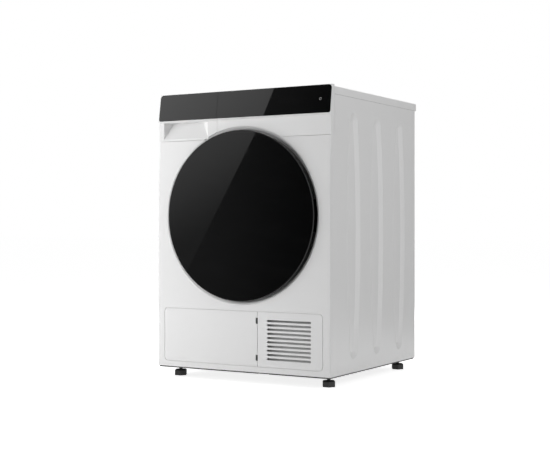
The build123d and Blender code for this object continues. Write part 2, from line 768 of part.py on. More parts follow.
# Water tank drawer: front, glass, tank, lid, and the fixed tray
TANK_LEFT = -HALF_W + TANK_MARGIN_LEFT
TANK_RIGHT = DRAWER_RIGHT - TANK_MARGIN_RIGHT
TANK_Y = behind(TANK_FRONT_DEPTH)
TANK_BACK_Y = TANK_Y + TANK_LENGTH
TANK_TOP_Z = TANK_FLOOR_Z + TANK_HEIGHT
SCOOP_TOP = FASCIA_Z - FASCIA_LIP - UNDERCUT


def scoop(grow, mode):
    """The finger scoop: a wedge, wide at the strip, that ends in a narrow slit behind the fascia."""
    sections = []
    for y, slant, low in (
        (STRIP_Y - (0 if grow else SEAM), 0, SCOOP_LOW),
        (STRIP_Y + SCOOP_DEPTH + grow, 1, SCOOP_TOP - SCOOP_END),
    ):
        left = SCOOP_LEFT + slant * SCOOP_SLANT_LEFT - grow
        right = SCOOP_RIGHT - slant * SCOOP_SLANT_RIGHT + grow
        bottom = low - grow
        with BuildSketch(Plane.XZ.offset(-y)) as section:
            with Locations(((left + right) / 2, (bottom + SCOOP_TOP + grow) / 2)):
                Rectangle(right - left, SCOOP_TOP + grow - bottom)
        sections.append(section.sketch)
    loft(sections, mode=mode)


with BuildPart() as tank_front:
    console_shell(-HALF_W, DRAWER_RIGHT)
    scoop(CONSOLE_WALL / 2, Mode.ADD)
    scoop(0, Mode.SUBTRACT)
    rib_z = (TANK_FLOOR_Z + TANK_TOP_Z) / 2
    rib_y = fascia_y(rib_z, FASCIA_RELIEF + CONSOLE_WALL / 2)
    block(TANK_LEFT, TANK_RIGHT, rib_y, TANK_Y, rib_z - TANK_RIB / 2, rib_z + TANK_RIB / 2)
    extrude(fascia_glass(-GLASS_RIGHT, DRAWER_RIGHT, FIT / 2, 0), amount=-FASCIA_GLASS, mode=Mode.SUBTRACT)
    dish_gap_r = RECESS_R + FRONT_SHEET + FIT
    rod_y(0, DOOR_Z, STRIP_Y + CONSOLE_WALL, CONSOLE_BACK_Y + SEAM, dish_gap_r, mode=Mode.SUBTRACT)
save(tank_front, "tank_front")

with BuildPart() as tank_glass:
    extrude(fascia_glass(-GLASS_RIGHT, DRAWER_RIGHT, 0, 0), amount=-FASCIA_GLASS)
save(tank_glass, "tank_glass")

with BuildPart() as tank_body:
    block(TANK_LEFT, TANK_RIGHT, TANK_Y, TANK_BACK_Y, TANK_FLOOR_Z, TANK_TOP_Z)
    fillet(tank_body.edges().filter_by(Axis.Z), TANK_WALL * 2)
    block(
        TANK_LEFT + TANK_WALL, TANK_RIGHT - TANK_WALL, TANK_Y + TANK_WALL, TANK_BACK_Y - TANK_WALL,
        TANK_FLOOR_Z + TANK_WALL, TANK_TOP_Z, Mode.SUBTRACT,
    )
save(tank_body, "tank_body")

with BuildPart() as tank_lid:
    block(TANK_LEFT, TANK_RIGHT, TANK_Y, TANK_BACK_Y, TANK_TOP_Z, TANK_TOP_Z + TANK_WALL)
    fillet(tank_lid.edges().filter_by(Axis.Z), TANK_WALL * 2)
    rod_z(
        TANK_LEFT + 3 * SPOUT_R, TANK_Y + 3 * SPOUT_R, TANK_TOP_Z, TANK_TOP_Z + TANK_WALL, SPOUT_R,
        mode=Mode.SUBTRACT,
    )
save(tank_lid, "tank_lid")

with BuildPart() as tank_tray:
    tray_floor = TANK_FLOOR_Z - FIT
    tray_left = TANK_LEFT - TRAY_SIDE_GAP
    tray_right = TANK_RIGHT + TRAY_SIDE_GAP
    tray_front = CONSOLE_BACK_Y + SEAM
    tray_back = TANK_BACK_Y + TRAY_SIDE_GAP
    block(
        tray_left - TRAY_WALL, tray_right + TRAY_WALL, tray_front, tray_back + TRAY_WALL,
        tray_floor - TRAY_WALL, WORKTOP_BOTTOM - SHEET,
    )
    block(tray_left, tray_right, tray_front, tray_back, tray_floor, WORKTOP_BOTTOM, Mode.SUBTRACT)
save(tank_tray, "tank_tray")


# Door: glass, rim, bowl, seal
with BuildPart() as door_glass:
    rod_y(0, DOOR_Z, FRONT_Y - GLASS_PROUD, GLASS_BACK_Y, GLASS_R)
    fillet(door_glass.edges().group_by(Axis.Y)[0], GLASS_EDGE_R)
save(door_glass, "door_glass")

POCKET_HALF = LEAF_HALF_HEIGHT + ARM_LENGTH + POCKET_GAP
with BuildPart() as door_rim:
    rim_back_r = RIM_R - RIM_TAPER
    turned([
        (RIM_INNER_R, GLASS_BACK_Y),
        (RIM_R, GLASS_BACK_Y),
        (rim_back_r, RIM_BACK_Y),
        (RIM_INNER_R, RIM_BACK_Y),
        (RIM_INNER_R, RIM_BACK_Y - RIM_WALL),
        (rim_back_r - RIM_WALL, RIM_BACK_Y - RIM_WALL),
        (RIM_R - RIM_WALL, GLASS_BACK_Y + RIM_WALL),
        (RIM_INNER_R, GLASS_BACK_Y + RIM_WALL),
    ])
    block(
        -GLASS_R, HINGE_X + ARM_THICK + POCKET_SIDE_GAP, GLASS_BACK_Y, RIM_BACK_Y, DOOR_Z - POCKET_HALF,
        DOOR_Z + POCKET_HALF, Mode.SUBTRACT,
    )
    block(
        SEAL_OUTER_R, GLASS_R, GLASS_BACK_Y + RIM_WALL, RIM_BACK_Y - RIM_WALL,
        DOOR_Z - GRIP_HALF_HEIGHT, DOOR_Z + GRIP_HALF_HEIGHT, Mode.SUBTRACT,
    )
    block(
        LATCH_X - HOOK_WIDTH / 2, LATCH_X + HOOK_WIDTH / 2, RIM_BACK_Y, RIM_BACK_Y + HOOK_LENGTH,
        DOOR_Z - HOOK_HEIGHT / 2, DOOR_Z + HOOK_HEIGHT / 2,
    )
save(door_rim, "door_rim")

BOWL_START_Y = RIM_BACK_Y - 2 * RIM_WALL
BOWL_END_Y = DISH_Y + BOWL_DEPTH
with BuildPart() as door_bowl:
    turned([
        (BOWL_FLANGE_R, BOWL_START_Y),
        (BOWL_FLANGE_R, BOWL_START_Y + RIM_WALL),
        (BOWL_R + RIM_WALL, BOWL_START_Y + RIM_WALL),
        (BOWL_R, DISH_Y),
        (BOWL_END_R, BOWL_END_Y - RIM_WALL * 2),
        (BOWL_END_R - 5 * RIM_WALL, BOWL_END_Y),
        (0, BOWL_END_Y),
        (0, BOWL_END_Y - RIM_WALL),
        (BOWL_END_R - 5 * RIM_WALL, BOWL_END_Y - RIM_WALL),
        (BOWL_END_R - RIM_WALL, BOWL_END_Y - RIM_WALL * 3),
        (BOWL_R - RIM_WALL, DISH_Y),
        (BOWL_R, BOWL_START_Y),
    ])
save(door_bowl, "door_bowl")

with BuildPart() as door_seal:
    rod_y(0, DOOR_Z, RIM_BACK_Y, DISH_Y - FIT, SEAL_OUTER_R, SEAL_INNER_R)
    chamfer(door_seal.edges().group_by(Axis.Y)[-1], SEAL_CHAMFER)
save(door_seal, "door_seal")


# Door hinge: leaf and pin on the door, bracket on the recess floor, latch behind it
with BuildPart() as hinge_leaf:
    leaf_low = DOOR_Z - LEAF_HALF_HEIGHT
    leaf_high = DOOR_Z + LEAF_HALF_HEIGHT
    rod_z(HINGE_X, HINGE_Y, leaf_low, leaf_high, KNUCKLE_R)
    leaf_y = GLASS_BACK_Y + RIM_WALL
    block(HINGE_X, HINGE_X + LEAF_REACH, leaf_y, leaf_y + RIM_WALL, leaf_low, leaf_high)
    rod_z(HINGE_X, HINGE_Y, leaf_low, leaf_high, HINGE_PIN_R + RUNNING / 2, mode=Mode.SUBTRACT)
save(hinge_leaf, "hinge_leaf")

ARM_ZS = [(LEAF_HALF_HEIGHT + ARM_GAP, LEAF_HALF_HEIGHT + ARM_GAP + ARM_LENGTH)]
ARM_ZS.append((-ARM_ZS[0][1], -ARM_ZS[0][0]))
with BuildPart() as hinge_pin:
    rod_z(HINGE_X, HINGE_Y, DOOR_Z + ARM_ZS[1][0] - ARM_GAP, DOOR_Z + ARM_ZS[0][1] + ARM_GAP, HINGE_PIN_R)
save(hinge_pin, "hinge_pin")

with BuildPart() as hinge_bracket:
    plate_half = ARM_ZS[0][1] + BRACKET_MARGIN
    block(
        HINGE_X - BRACKET_LEFT, HINGE_X + BRACKET_RIGHT, DISH_Y - BRACKET_THICK, DISH_Y,
        DOOR_Z - plate_half, DOOR_Z + plate_half,
    )
    for arm_low, arm_high in ARM_ZS:
        block(HINGE_X, HINGE_X + ARM_THICK, HINGE_Y, DISH_Y, DOOR_Z + arm_low, DOOR_Z + arm_high)
        rod_z(HINGE_X, HINGE_Y, DOOR_Z + arm_low, DOOR_Z + arm_high, KNUCKLE_R)
        rod_z(
            HINGE_X, HINGE_Y, DOOR_Z + arm_low, DOOR_Z + arm_high, HINGE_PIN_R + RUNNING, mode=Mode.SUBTRACT
        )
save(hinge_bracket, "hinge_bracket")

with BuildPart() as door_latch:
    latch_half = HOOK_WIDTH / 2 + LATCH_SIDE
    latch_tall = HOOK_HEIGHT / 2 + LATCH_END
    block(
        LATCH_X - latch_half, LATCH_X + latch_half, DISH_BACK_Y, DISH_BACK_Y + LATCH_DEPTH,
        DOOR_Z - latch_tall, DOOR_Z + latch_tall,
    )
    block(
        LATCH_X - slot_half, LATCH_X + slot_half, DISH_BACK_Y, DISH_BACK_Y + LATCH_DEPTH - RIM_WALL,
        DOOR_Z - slot_tall, DOOR_Z + slot_tall, Mode.SUBTRACT,
    )
save(door_latch, "door_latch")


# Front bulkhead: the funnel between the loading hole and the drum, with the filter slot and roller axles
FUNNEL_R = LOAD_R + FRONT_SHEET + FIT
FUNNEL_Y = DISH_BACK_Y + BULKHEAD_WALL
COLLAR_INNER_R = COLLAR_R - COLLAR_THICK
COLLAR_Y = behind(COLLAR_START)
COLLAR_END_Y = behind(COLLAR_END)
FILTER_Y = behind(FILTER_DEPTH)
FILTER_BACK_Y = FILTER_Y + FILTER_THICK
FILTER_HALF = FILTER_WIDTH / 2
EAR_Y = COLLAR_Y - EAR_THICK
EAR_ANGLE = math.degrees(math.atan2(ROLLER_Z - DOOR_Z, ROLLER_X))
ROLLER_Y = behind(DRUM_FRONT + ROLLER_SETBACK)

with BuildPart() as front_bulkhead:
    turned([
        (FUNNEL_R, DISH_BACK_Y),
        (FLANGE_R, DISH_BACK_Y),
        (FLANGE_R, FUNNEL_Y),
        (FUNNEL_R + BULKHEAD_WALL, FUNNEL_Y),
        (COLLAR_INNER_R + BULKHEAD_WALL, COLLAR_Y),
        (COLLAR_R, COLLAR_Y),
        (COLLAR_R, COLLAR_END_Y),
        (COLLAR_INNER_R, COLLAR_END_Y),
        (COLLAR_INNER_R, COLLAR_Y),
        (FUNNEL_R, FUNNEL_Y),
    ])
    case_half = FILTER_HALF + FIT + BULKHEAD_WALL
    block(
        -case_half, case_half, FILTER_Y - FIT - BULKHEAD_WALL, FILTER_BACK_Y + FIT + BULKHEAD_WALL,
        FILTER_LOW - FIT - BULKHEAD_WALL, DOOR_Z - FUNNEL_R,
    )
    with BuildSketch(Plane.XZ.offset(-EAR_Y)):
        ear_reach = ROLLER_DISTANCE + ROLLER_EAR / 2 - COLLAR_INNER_R
        for side in (-1, 1):
            angle = EAR_ANGLE if side > 0 else 180 - EAR_ANGLE
            middle = COLLAR_INNER_R + ear_reach / 2
            reach_x = middle * math.cos(math.radians(angle))
            reach_z = middle * math.sin(math.radians(angle))
            with Locations(Location((reach_x, DOOR_Z + reach_z), angle)):
                Rectangle(ear_reach, ROLLER_EAR)
    extrude(amount=-EAR_THICK)
    turned([
        (0, DISH_BACK_Y),
        (FUNNEL_R, DISH_BACK_Y),
        (FUNNEL_R, FUNNEL_Y),
        (COLLAR_INNER_R, COLLAR_Y),
        (COLLAR_INNER_R, COLLAR_END_Y),
        (0, COLLAR_END_Y),
    ], Mode.SUBTRACT)
    block(
        -FILTER_HALF - FIT, FILTER_HALF + FIT, FILTER_Y - FIT, FILTER_BACK_Y + FIT, FILTER_LOW - FIT,
        DOOR_Z - FUNNEL_R + BULKHEAD_WALL * 5, Mode.SUBTRACT,
    )
    block(
        -FILTER_HALF + FILTER_FRAME, FILTER_HALF - FILTER_FRAME, FILTER_BACK_Y,
        FILTER_BACK_Y + 2 * BULKHEAD_WALL, FILTER_LOW + FILTER_FRAME, HOUSING_TOP - HOUSING_WALL - FIT,
        Mode.SUBTRACT,
    )
    for side in (-1, 1):
        rod_y(side * ROLLER_X, ROLLER_Z, COLLAR_Y, ROLLER_Y + ROLLER_WIDTH + AXLE_R, AXLE_R)
save(front_bulkhead, "front_bulkhead")


def support_roller(side):
    """A grooved roller that carries the front of the drum."""
    with BuildPart() as roller:
        rod_y(side * ROLLER_X, ROLLER_Z, ROLLER_Y, ROLLER_Y + ROLLER_WIDTH, ROLLER_R, AXLE_R + RUNNING)
        chamfer(roller.edges().filter_by(GeomType.CIRCLE).sort_by(SortBy.RADIUS)[-2:], ROLLER_CHAMFER)
        hub_r = AXLE_R + ROLLER_GROOVE
        for y in (ROLLER_Y, ROLLER_Y + ROLLER_WIDTH - ROLLER_GROOVE):
            rod_y(
                side * ROLLER_X, ROLLER_Z, y, y + ROLLER_GROOVE, ROLLER_R - ROLLER_TREAD, hub_r, Mode.SUBTRACT
            )
    return roller


roller_left = support_roller(-1)
save(roller_left, "roller_left")
roller_right = support_roller(1)
save(roller_right, "roller_right")

with BuildPart() as lint_filter:
    block(-FILTER_HALF, FILTER_HALF, FILTER_Y, FILTER_BACK_Y, FILTER_LOW, FILTER_HIGH)
    block(
        -FILTER_HALF + FILTER_FRAME, FILTER_HALF - FILTER_FRAME, FILTER_Y, FILTER_BACK_Y,
        FILTER_LOW + FILTER_FRAME, FILTER_HIGH - 2 * FILTER_FRAME, Mode.SUBTRACT,
    )
    mesh_y = (FILTER_Y + FILTER_BACK_Y) / 2
    mesh_width = FILTER_WIDTH - 2 * FILTER_FRAME
    mesh_height = FILTER_HIGH - FILTER_LOW - 3 * FILTER_FRAME
    mesh_z = FILTER_LOW + FILTER_FRAME + mesh_height / 2
    column = mesh_width / MESH_COLUMNS
    row = mesh_height / MESH_ROWS
    with BuildSketch(Plane.XZ.offset(-mesh_y)):
        with Locations((0, mesh_z)):
            Rectangle(mesh_width, mesh_height)
            with GridLocations(column, row, MESH_COLUMNS, MESH_ROWS):
                Rectangle(column - MESH_BAR, row - MESH_BAR, mode=Mode.SUBTRACT)
    extrude(amount=-MESH_BAR / 2)
    pull_half = 3 * FILTER_FRAME
    pull_top = FILTER_HIGH + FILTER_FRAME
    block(-pull_half, pull_half, mesh_y - MESH_BAR, mesh_y + MESH_BAR, FILTER_HIGH, pull_top)
save(lint_filter, "lint_filter")


# Drum: shell with its front ring, perforated back, lifters and shaft
DRUM_Y = behind(DRUM_FRONT)
DRUM_BACK_Y = behind(DRUM_BACK)
BACK_PLATE_Y = DRUM_BACK_Y - DRUM_SHEET
DRUM_INNER_R = DRUM_R - DRUM_SHEET

with BuildPart() as drum_shell:
    turned([
        (LIP_R, DRUM_Y),
        (DRUM_R, DRUM_Y),
        (DRUM_R, BACK_PLATE_Y),
        (DRUM_INNER_R, BACK_PLATE_Y),
        (DRUM_INNER_R, DRUM_Y + DRUM_SHEET),
        (LIP_R + DRUM_SHEET, DRUM_Y + DRUM_SHEET),
        (LIP_R + DRUM_SHEET, DRUM_Y + LIP_LENGTH),
        (LIP_R, DRUM_Y + LIP_LENGTH),
    ])
save(drum_shell, "drum_shell")

with BuildPart() as drum_back:
    rod_y(0, DOOR_Z, BACK_PLATE_Y, DRUM_BACK_Y, DRUM_R)
    with BuildSketch(Plane.XZ.offset(-BACK_PLATE_Y)):
        with Locations((0, DOOR_Z)):
            for ring_r in HOLE_RINGS:
                with PolarLocations(ring_r, int(2 * math.pi * ring_r / HOLE_SPACING)):
                    Circle(HOLE_R)
    extrude(amount=-DRUM_SHEET, mode=Mode.SUBTRACT)
save(drum_back, "drum_back")

LIFTER_Y = DRUM_Y + 2 * LIP_LENGTH
LIFTER_BACK_Y = BACK_PLATE_Y - FIT


def lifter_section(y, wall):
    """The outline of the lifters at one depth, drawn in by a wall but open towards the shell."""
    with BuildSketch(Plane.XZ.offset(-y)) as section:
        with Locations((0, DOOR_Z)):
            with PolarLocations(0, LIFTER_COUNT, start_angle=LIFTER_START):
                Polygon(
                    (DRUM_R, -LIFTER_BASE + wall),
                    (DRUM_R, LIFTER_BASE - wall),
                    (DRUM_INNER_R - LIFTER_HEIGHT + wall, LIFTER_TOP - wall / 2),
                    (DRUM_INNER_R - LIFTER_HEIGHT + wall, -LIFTER_TOP + wall / 2),
                    align=None,
                )
            Circle(DRUM_INNER_R - RUNNING, mode=Mode.INTERSECT)
    return section.sketch


with BuildPart() as drum_lifters:
    extrude(lifter_section(LIFTER_Y, 0), amount=-(LIFTER_BACK_Y - LIFTER_Y))
    ridge = drum_lifters.edges().filter_by(Axis.Y).filter_by(
        lambda edge: math.hypot(edge.center().X, edge.center().Z - DOOR_Z) < DRUM_INNER_R - LIFTER_HEIGHT / 2
    )
    fillet(ridge, LIFTER_TOP / 2)
    hollow_length = LIFTER_BACK_Y - LIFTER_Y - 2 * LIFTER_WALL
    extrude(lifter_section(LIFTER_Y + LIFTER_WALL, LIFTER_WALL), amount=-hollow_length, mode=Mode.SUBTRACT)
save(drum_lifters, "drum_lifters")

with BuildPart() as drum_shaft:
    rod_y(0, DOOR_Z, DRUM_BACK_Y, REAR_INNER_Y - SHEET, SHAFT_R)
    rod_y(0, DOOR_Z, DRUM_BACK_Y, DRUM_BACK_Y + SPIDER_THICK, HOLE_RINGS[0] - 3 * HOLE_R)
save(drum_shaft, "drum_shaft")

with BuildPart() as rear_bearing:
    rod_y(0, DOOR_Z, REAR_INNER_Y - BEARING_LENGTH, REAR_INNER_Y, BEARING_R, SHAFT_R + RUNNING)
    rod_y(0, DOOR_Z, REAR_INNER_Y - BEARING_FLANGE, REAR_INNER_Y, BEARING_FLANGE_R, SHAFT_R + RUNNING)
save(rear_bearing, "rear_bearing")

DUCT_FRONT_Y = DRUM_BACK_Y + DUCT_GAP
with BuildPart() as drum_felts:
    felt_inner = COLLAR_R + FIT
    rod_y(0, DOOR_Z, DRUM_Y + DRUM_SHEET, COLLAR_END_Y - DRUM_SHEET, felt_inner + FELT_THICK, felt_inner)
    rod_y(0, DOOR_Z, DRUM_BACK_Y + FIT, DUCT_FRONT_Y, DUCT_R, DUCT_R - 2 * DUCT_WALL)
save(drum_felts, "drum_felts")

CASE_FRONT_Y = behind(BLOWER_FRONT) - 2 * DUCT_WALL
CASE_BACK_Y = behind(BLOWER_FRONT) + BLOWER_WIDTH + 2 * DUCT_WALL
with BuildPart() as air_duct:
    rod_y(0, DOOR_Z, DUCT_FRONT_Y, REAR_INNER_Y, DUCT_R, DUCT_R - DUCT_WALL)
    rod_y(MOTOR_X, MOTOR_Z, CASE_FRONT_Y, CASE_BACK_Y, BLOWER_CASE_R)
    outlet_left = MOTOR_X - BLOWER_CASE_R + 2 * DUCT_WALL
    outlet_right = MOTOR_X - 4 * DUCT_WALL
    outlet_top = DOOR_Z - math.sqrt(DUCT_R**2 - outlet_right**2)
    block(outlet_left, outlet_right, DUCT_FRONT_Y, CASE_BACK_Y, MOTOR_Z, outlet_top)
    rod_y(0, DOOR_Z, DUCT_FRONT_Y, REAR_INNER_Y, DUCT_R - DUCT_WALL, mode=Mode.SUBTRACT)
    block(
        outlet_left + DUCT_WALL, outlet_right - DUCT_WALL, DUCT_FRONT_Y + DUCT_WALL,
        CASE_BACK_Y - DUCT_WALL, MOTOR_Z, outlet_top, Mode.SUBTRACT,
    )
    rod_y(
        MOTOR_X, MOTOR_Z, CASE_FRONT_Y + DUCT_WALL, CASE_BACK_Y - DUCT_WALL, BLOWER_CASE_R - DUCT_WALL,
        mode=Mode.SUBTRACT,
    )
    rod_y(MOTOR_X, MOTOR_Z, CASE_FRONT_Y, CASE_FRONT_Y + DUCT_WALL, BLOWER_INLET_R, mode=Mode.SUBTRACT)
save(air_duct, "air_duct")


# Drive: belt, motor, shaft with pulley, blower wheel, idler
BELT_Y = behind(BELT_DEPTH)


def belt_loop(grow):
    """The outline of the belt round the drum and the motor pulley."""
    with BuildSketch(Plane.XZ.offset(-BELT_Y)) as loop:
        with Locations((0, DOOR_Z)):
            Circle(DRUM_R + FIT + grow)
        with Locations((MOTOR_X, MOTOR_Z)):
            Circle(PULLEY_R + FIT + grow)
        make_hull()
    return loop.sketch


with BuildPart() as drum_belt:
    extrude(belt_loop(BELT_THICK), amount=-BELT_WIDTH)
    extrude(belt_loop(0), amount=-BELT_WIDTH, mode=Mode.SUBTRACT)
save(drum_belt, "drum_belt")

CENTRE_LINE = Vector(MOTOR_X, MOTOR_Z - DOOR_Z)
STRAND_SWING = math.degrees(math.acos((DRUM_R - PULLEY_R) / CENTRE_LINE.length))
STRAND_NORMAL = CENTRE_LINE.normalized().rotate(Axis.Z, STRAND_SWING)
STRAND_RUN = STRAND_NORMAL.rotate(Axis.Z, 90)
IDLER_PLACE = (
    Vector(MOTOR_X, MOTOR_Z)
    + STRAND_NORMAL * (PULLEY_R + BELT_THICK + 2 * FIT + IDLER_R)
    + STRAND_RUN * IDLER_RISE
)
MOTOR_Y = behind(MOTOR_FRONT)
MOTOR_BACK_Y = MOTOR_Y + MOTOR_LENGTH
BLOWER_Y = behind(BLOWER_FRONT)

with BuildPart() as motor_body:
    rod_y(MOTOR_X, MOTOR_Z, MOTOR_Y, MOTOR_BACK_Y, MOTOR_R)
    fillet(motor_body.edges().filter_by(GeomType.CIRCLE), MOTOR_EDGE_R)
    nose_y = MOTOR_Y - MOTOR_NOSE
    tail_y = MOTOR_BACK_Y + MOTOR_NOSE
    rod_y(MOTOR_X, MOTOR_Z, nose_y, tail_y, 2 * MOTOR_SHAFT_R)
    rod_y(MOTOR_X, MOTOR_Z, nose_y, tail_y, MOTOR_SHAFT_R + RUNNING, mode=Mode.SUBTRACT)
save(motor_body, "motor_body")

with BuildPart() as motor_shaft:
    rod_y(MOTOR_X, MOTOR_Z, BELT_Y - SHAFT_END, BLOWER_Y + BLOWER_WIDTH, MOTOR_SHAFT_R)
    rod_y(MOTOR_X, MOTOR_Z, BELT_Y - PULLEY_CHEEK, BELT_Y + BELT_WIDTH + PULLEY_CHEEK, PULLEY_R)
save(motor_shaft, "motor_shaft")

with BuildPart() as blower_wheel:
    blower_back_y = BLOWER_Y + BLOWER_WIDTH
    rod_y(MOTOR_X, MOTOR_Z, blower_back_y - BLOWER_PLATE, blower_back_y, BLOWER_R)
    rod_y(MOTOR_X, MOTOR_Z, BLOWER_Y, BLOWER_Y + BLOWER_PLATE, BLOWER_R, BLOWER_R - BLOWER_CHORD)
    with BuildSketch(Plane.XZ.offset(-BLOWER_Y)):
        with Locations((MOTOR_X, MOTOR_Z)):
            with PolarLocations(BLOWER_R - BLOWER_CHORD / 2, BLOWER_BLADES):
                Rectangle(BLOWER_CHORD - 1, BLADE_THICK, rotation=BLOWER_PITCH)
    extrude(amount=-BLOWER_WIDTH)
    rod_y(MOTOR_X, MOTOR_Z, BLOWER_Y + BLOWER_WIDTH / 2, blower_back_y, 2 * MOTOR_SHAFT_R)
    rod_y(MOTOR_X, MOTOR_Z, BLOWER_Y, blower_back_y, MOTOR_SHAFT_R + RUNNING / 2, mode=Mode.SUBTRACT)
save(blower_wheel, "blower_wheel")

BRACKET_Y = MOTOR_Y - 2 * IDLER_PLATE
IDLER_WIDTH = BELT_WIDTH + 2 * PULLEY_CHEEK
IDLER_Y = BELT_Y - PULLEY_CHEEK
with BuildPart() as motor_mount:
    mount_half = MOTOR_R + MOUNT_MARGIN
    bracket_left = IDLER_PLACE.X - IDLER_R
    bracket_right = IDLER_PLACE.X + IDLER_R
    block(
        MOTOR_X - mount_half, bracket_right, BRACKET_Y, MOTOR_BACK_Y - 2 * MOUNT_PLATE, BASE_FLOOR,
        BASE_FLOOR + MOUNT_PLATE,
    )
    for plate_y in (MOTOR_Y + 3 * MOUNT_PLATE, MOTOR_BACK_Y - 4 * MOUNT_PLATE):
        block(
            MOTOR_X - mount_half, MOTOR_X + mount_half, plate_y, plate_y + MOUNT_PLATE, BASE_FLOOR,
            MOTOR_Z - MOTOR_R / 3,
        )
    rod_y(MOTOR_X, MOTOR_Z, BRACKET_Y, MOTOR_BACK_Y, MOTOR_R + FIT, mode=Mode.SUBTRACT)
    bracket_top = IDLER_PLACE.Y + IDLER_R
    block(bracket_left, bracket_right, BRACKET_Y, BRACKET_Y + IDLER_PLATE, BASE_FLOOR, bracket_top)
    rod_y(IDLER_PLACE.X, IDLER_PLACE.Y, IDLER_Y - PULLEY_CHEEK, BRACKET_Y, IDLER_AXLE_R)
save(motor_mount, "motor_mount")

with BuildPart() as idler_wheel:
    rod_y(IDLER_PLACE.X, IDLER_PLACE.Y, IDLER_Y, IDLER_Y + IDLER_WIDTH, IDLER_R, IDLER_AXLE_R + RUNNING)
save(idler_wheel, "idler_wheel")


# Heat pump: exchangers in their housing, cover with two levers, compressor, fan, pump and hose
EXCHANGER_LEFT = HOUSING_LEFT + 2 * HOUSING_WALL
EXCHANGER_RIGHT = HOUSING_RIGHT - 2 * HOUSING_WALL


def exchanger(front_depth):
    """Upright fins on rows of tubes."""
    y_low = behind(front_depth)
    fin_count = int((EXCHANGER_RIGHT - EXCHANGER_LEFT) / FIN_PITCH)
    for fin in range(fin_count):
        fin_x = EXCHANGER_LEFT + FIN_PITCH / 2 + fin * FIN_PITCH
        block(fin_x, fin_x + FIN_THICK, y_low, y_low + EXCHANGER_DEPTH, EXCHANGER_LOW, EXCHANGER_HIGH)
    column = EXCHANGER_DEPTH / TUBE_COLUMNS
    row = (EXCHANGER_HIGH - EXCHANGER_LOW) / TUBE_ROWS
    with BuildSketch(Plane.YZ.offset(EXCHANGER_LEFT)) as tubes:
        with Locations((y_low + EXCHANGER_DEPTH / 2, (EXCHANGER_LOW + EXCHANGER_HIGH) / 2)):
            with GridLocations(column, row, TUBE_COLUMNS, TUBE_ROWS):
                Circle(PIPE_R)
    extrude(tubes.sketch, amount=EXCHANGER_RIGHT - EXCHANGER_LEFT)
    for foot_x in (EXCHANGER_LEFT + FIN_PITCH, EXCHANGER_RIGHT - 2 * FIN_PITCH):
        block(foot_x, foot_x + FIN_PITCH, y_low, y_low + EXCHANGER_DEPTH, BASE_FLOOR, EXCHANGER_LOW)


with BuildPart() as heat_exchangers:
    exchanger(EVAPORATOR_FRONT)
    exchanger(CONDENSER_FRONT)
save(heat_exchangers, "heat_exchangers")

COVER_LEFT = -SERVICE_HALF_WIDTH + 2 * COVER_LAP
COVER_RIGHT = FLAP_EDGE_X - 2 * COVER_LAP
COVER_LOW = SERVICE_LOW + COVER_LAP
COVER_HIGH = HOUSING_TOP - COVER_LAP
HOUSING_Y = behind(HOUSING_FRONT)
HOUSING_BACK_Y = behind(HOUSING_BACK)
with BuildPart() as exchanger_housing:
    block(HOUSING_LEFT, HOUSING_RIGHT, HOUSING_Y, HOUSING_BACK_Y, BASE_FLOOR, HOUSING_TOP)
    block(
        HOUSING_LEFT + HOUSING_WALL, HOUSING_RIGHT - HOUSING_WALL, HOUSING_Y + HOUSING_WALL,
        HOUSING_BACK_Y - HOUSING_WALL, BASE_FLOOR, HOUSING_TOP - HOUSING_WALL, Mode.SUBTRACT,
    )
    block(
        COVER_LEFT + COVER_LAP, COVER_RIGHT - COVER_LAP, HOUSING_Y, HOUSING_Y + HOUSING_WALL,
        COVER_LOW + COVER_LAP, COVER_HIGH - COVER_LAP, Mode.SUBTRACT,
    )
    block(
        -case_half - FIT, case_half + FIT, FILTER_Y - FIT - BULKHEAD_WALL - FIT,
        FILTER_BACK_Y + FIT + BULKHEAD_WALL + FIT,
        HOUSING_TOP - HOUSING_WALL, HOUSING_TOP, Mode.SUBTRACT,
    )
    block(
        EXCHANGER_LEFT, EXCHANGER_RIGHT, HOUSING_BACK_Y - HOUSING_WALL, HOUSING_BACK_Y,
        EXCHANGER_LOW + FIN_PITCH, EXCHANGER_HIGH - FIN_PITCH, Mode.SUBTRACT,
    )
save(exchanger_housing, "exchanger_housing")

COVER_Y = HOUSING_Y - COVER_THICK
LEVER_Z = (COVER_LOW + COVER_HIGH) / 2
LEVER_XS = {"left": COVER_LEFT + LEVER_INSET, "right": COVER_RIGHT - LEVER_INSET}
with BuildPart() as exchanger_cover:
    block(COVER_LEFT, COVER_RIGHT, COVER_Y, HOUSING_Y, COVER_LOW, COVER_HIGH)
    fillet(exchanger_cover.edges().filter_by(Axis.Y), COVER_CORNER_R)
    block(
        COVER_LEFT + 4 * COVER_LAP, COVER_RIGHT - 4 * COVER_LAP, COVER_Y, COVER_Y + COVER_THICK / 2,
        COVER_LOW + COVER_LAP, COVER_HIGH - COVER_LAP, Mode.SUBTRACT,
    )
    for lever_x in LEVER_XS.values():
        rod_y(lever_x, LEVER_Z, COVER_Y - LEVER_THICK - FIT, COVER_Y, LEVER_PIN_R)
save(exchanger_cover, "exchanger_cover")


def turn_lever(lever_x):
    """A lever on the pin of the cover, hanging down when it is locked."""
    lever_y = COVER_Y - FIT - LEVER_THICK
    with BuildPart() as lever:
        rod_y(lever_x, LEVER_Z, lever_y, lever_y + LEVER_THICK, LEVER_HUB_R)
        bar_half = LEVER_HUB_R * LEVER_SLIM
        bar_y = lever_y + LEVER_THICK * LEVER_SLIM
        block(lever_x - bar_half, lever_x + bar_half, lever_y, bar_y, LEVER_Z - LEVER_LENGTH, LEVER_Z)
        rod_y(lever_x, LEVER_Z, lever_y, lever_y + LEVER_THICK, LEVER_PIN_R + RUNNING, mode=Mode.SUBTRACT)
    return lever


lever_left = turn_lever(LEVER_XS["left"])
save(lever_left, "lever_left")
lever_right = turn_lever(LEVER_XS["right"])
save(lever_right, "lever_right")

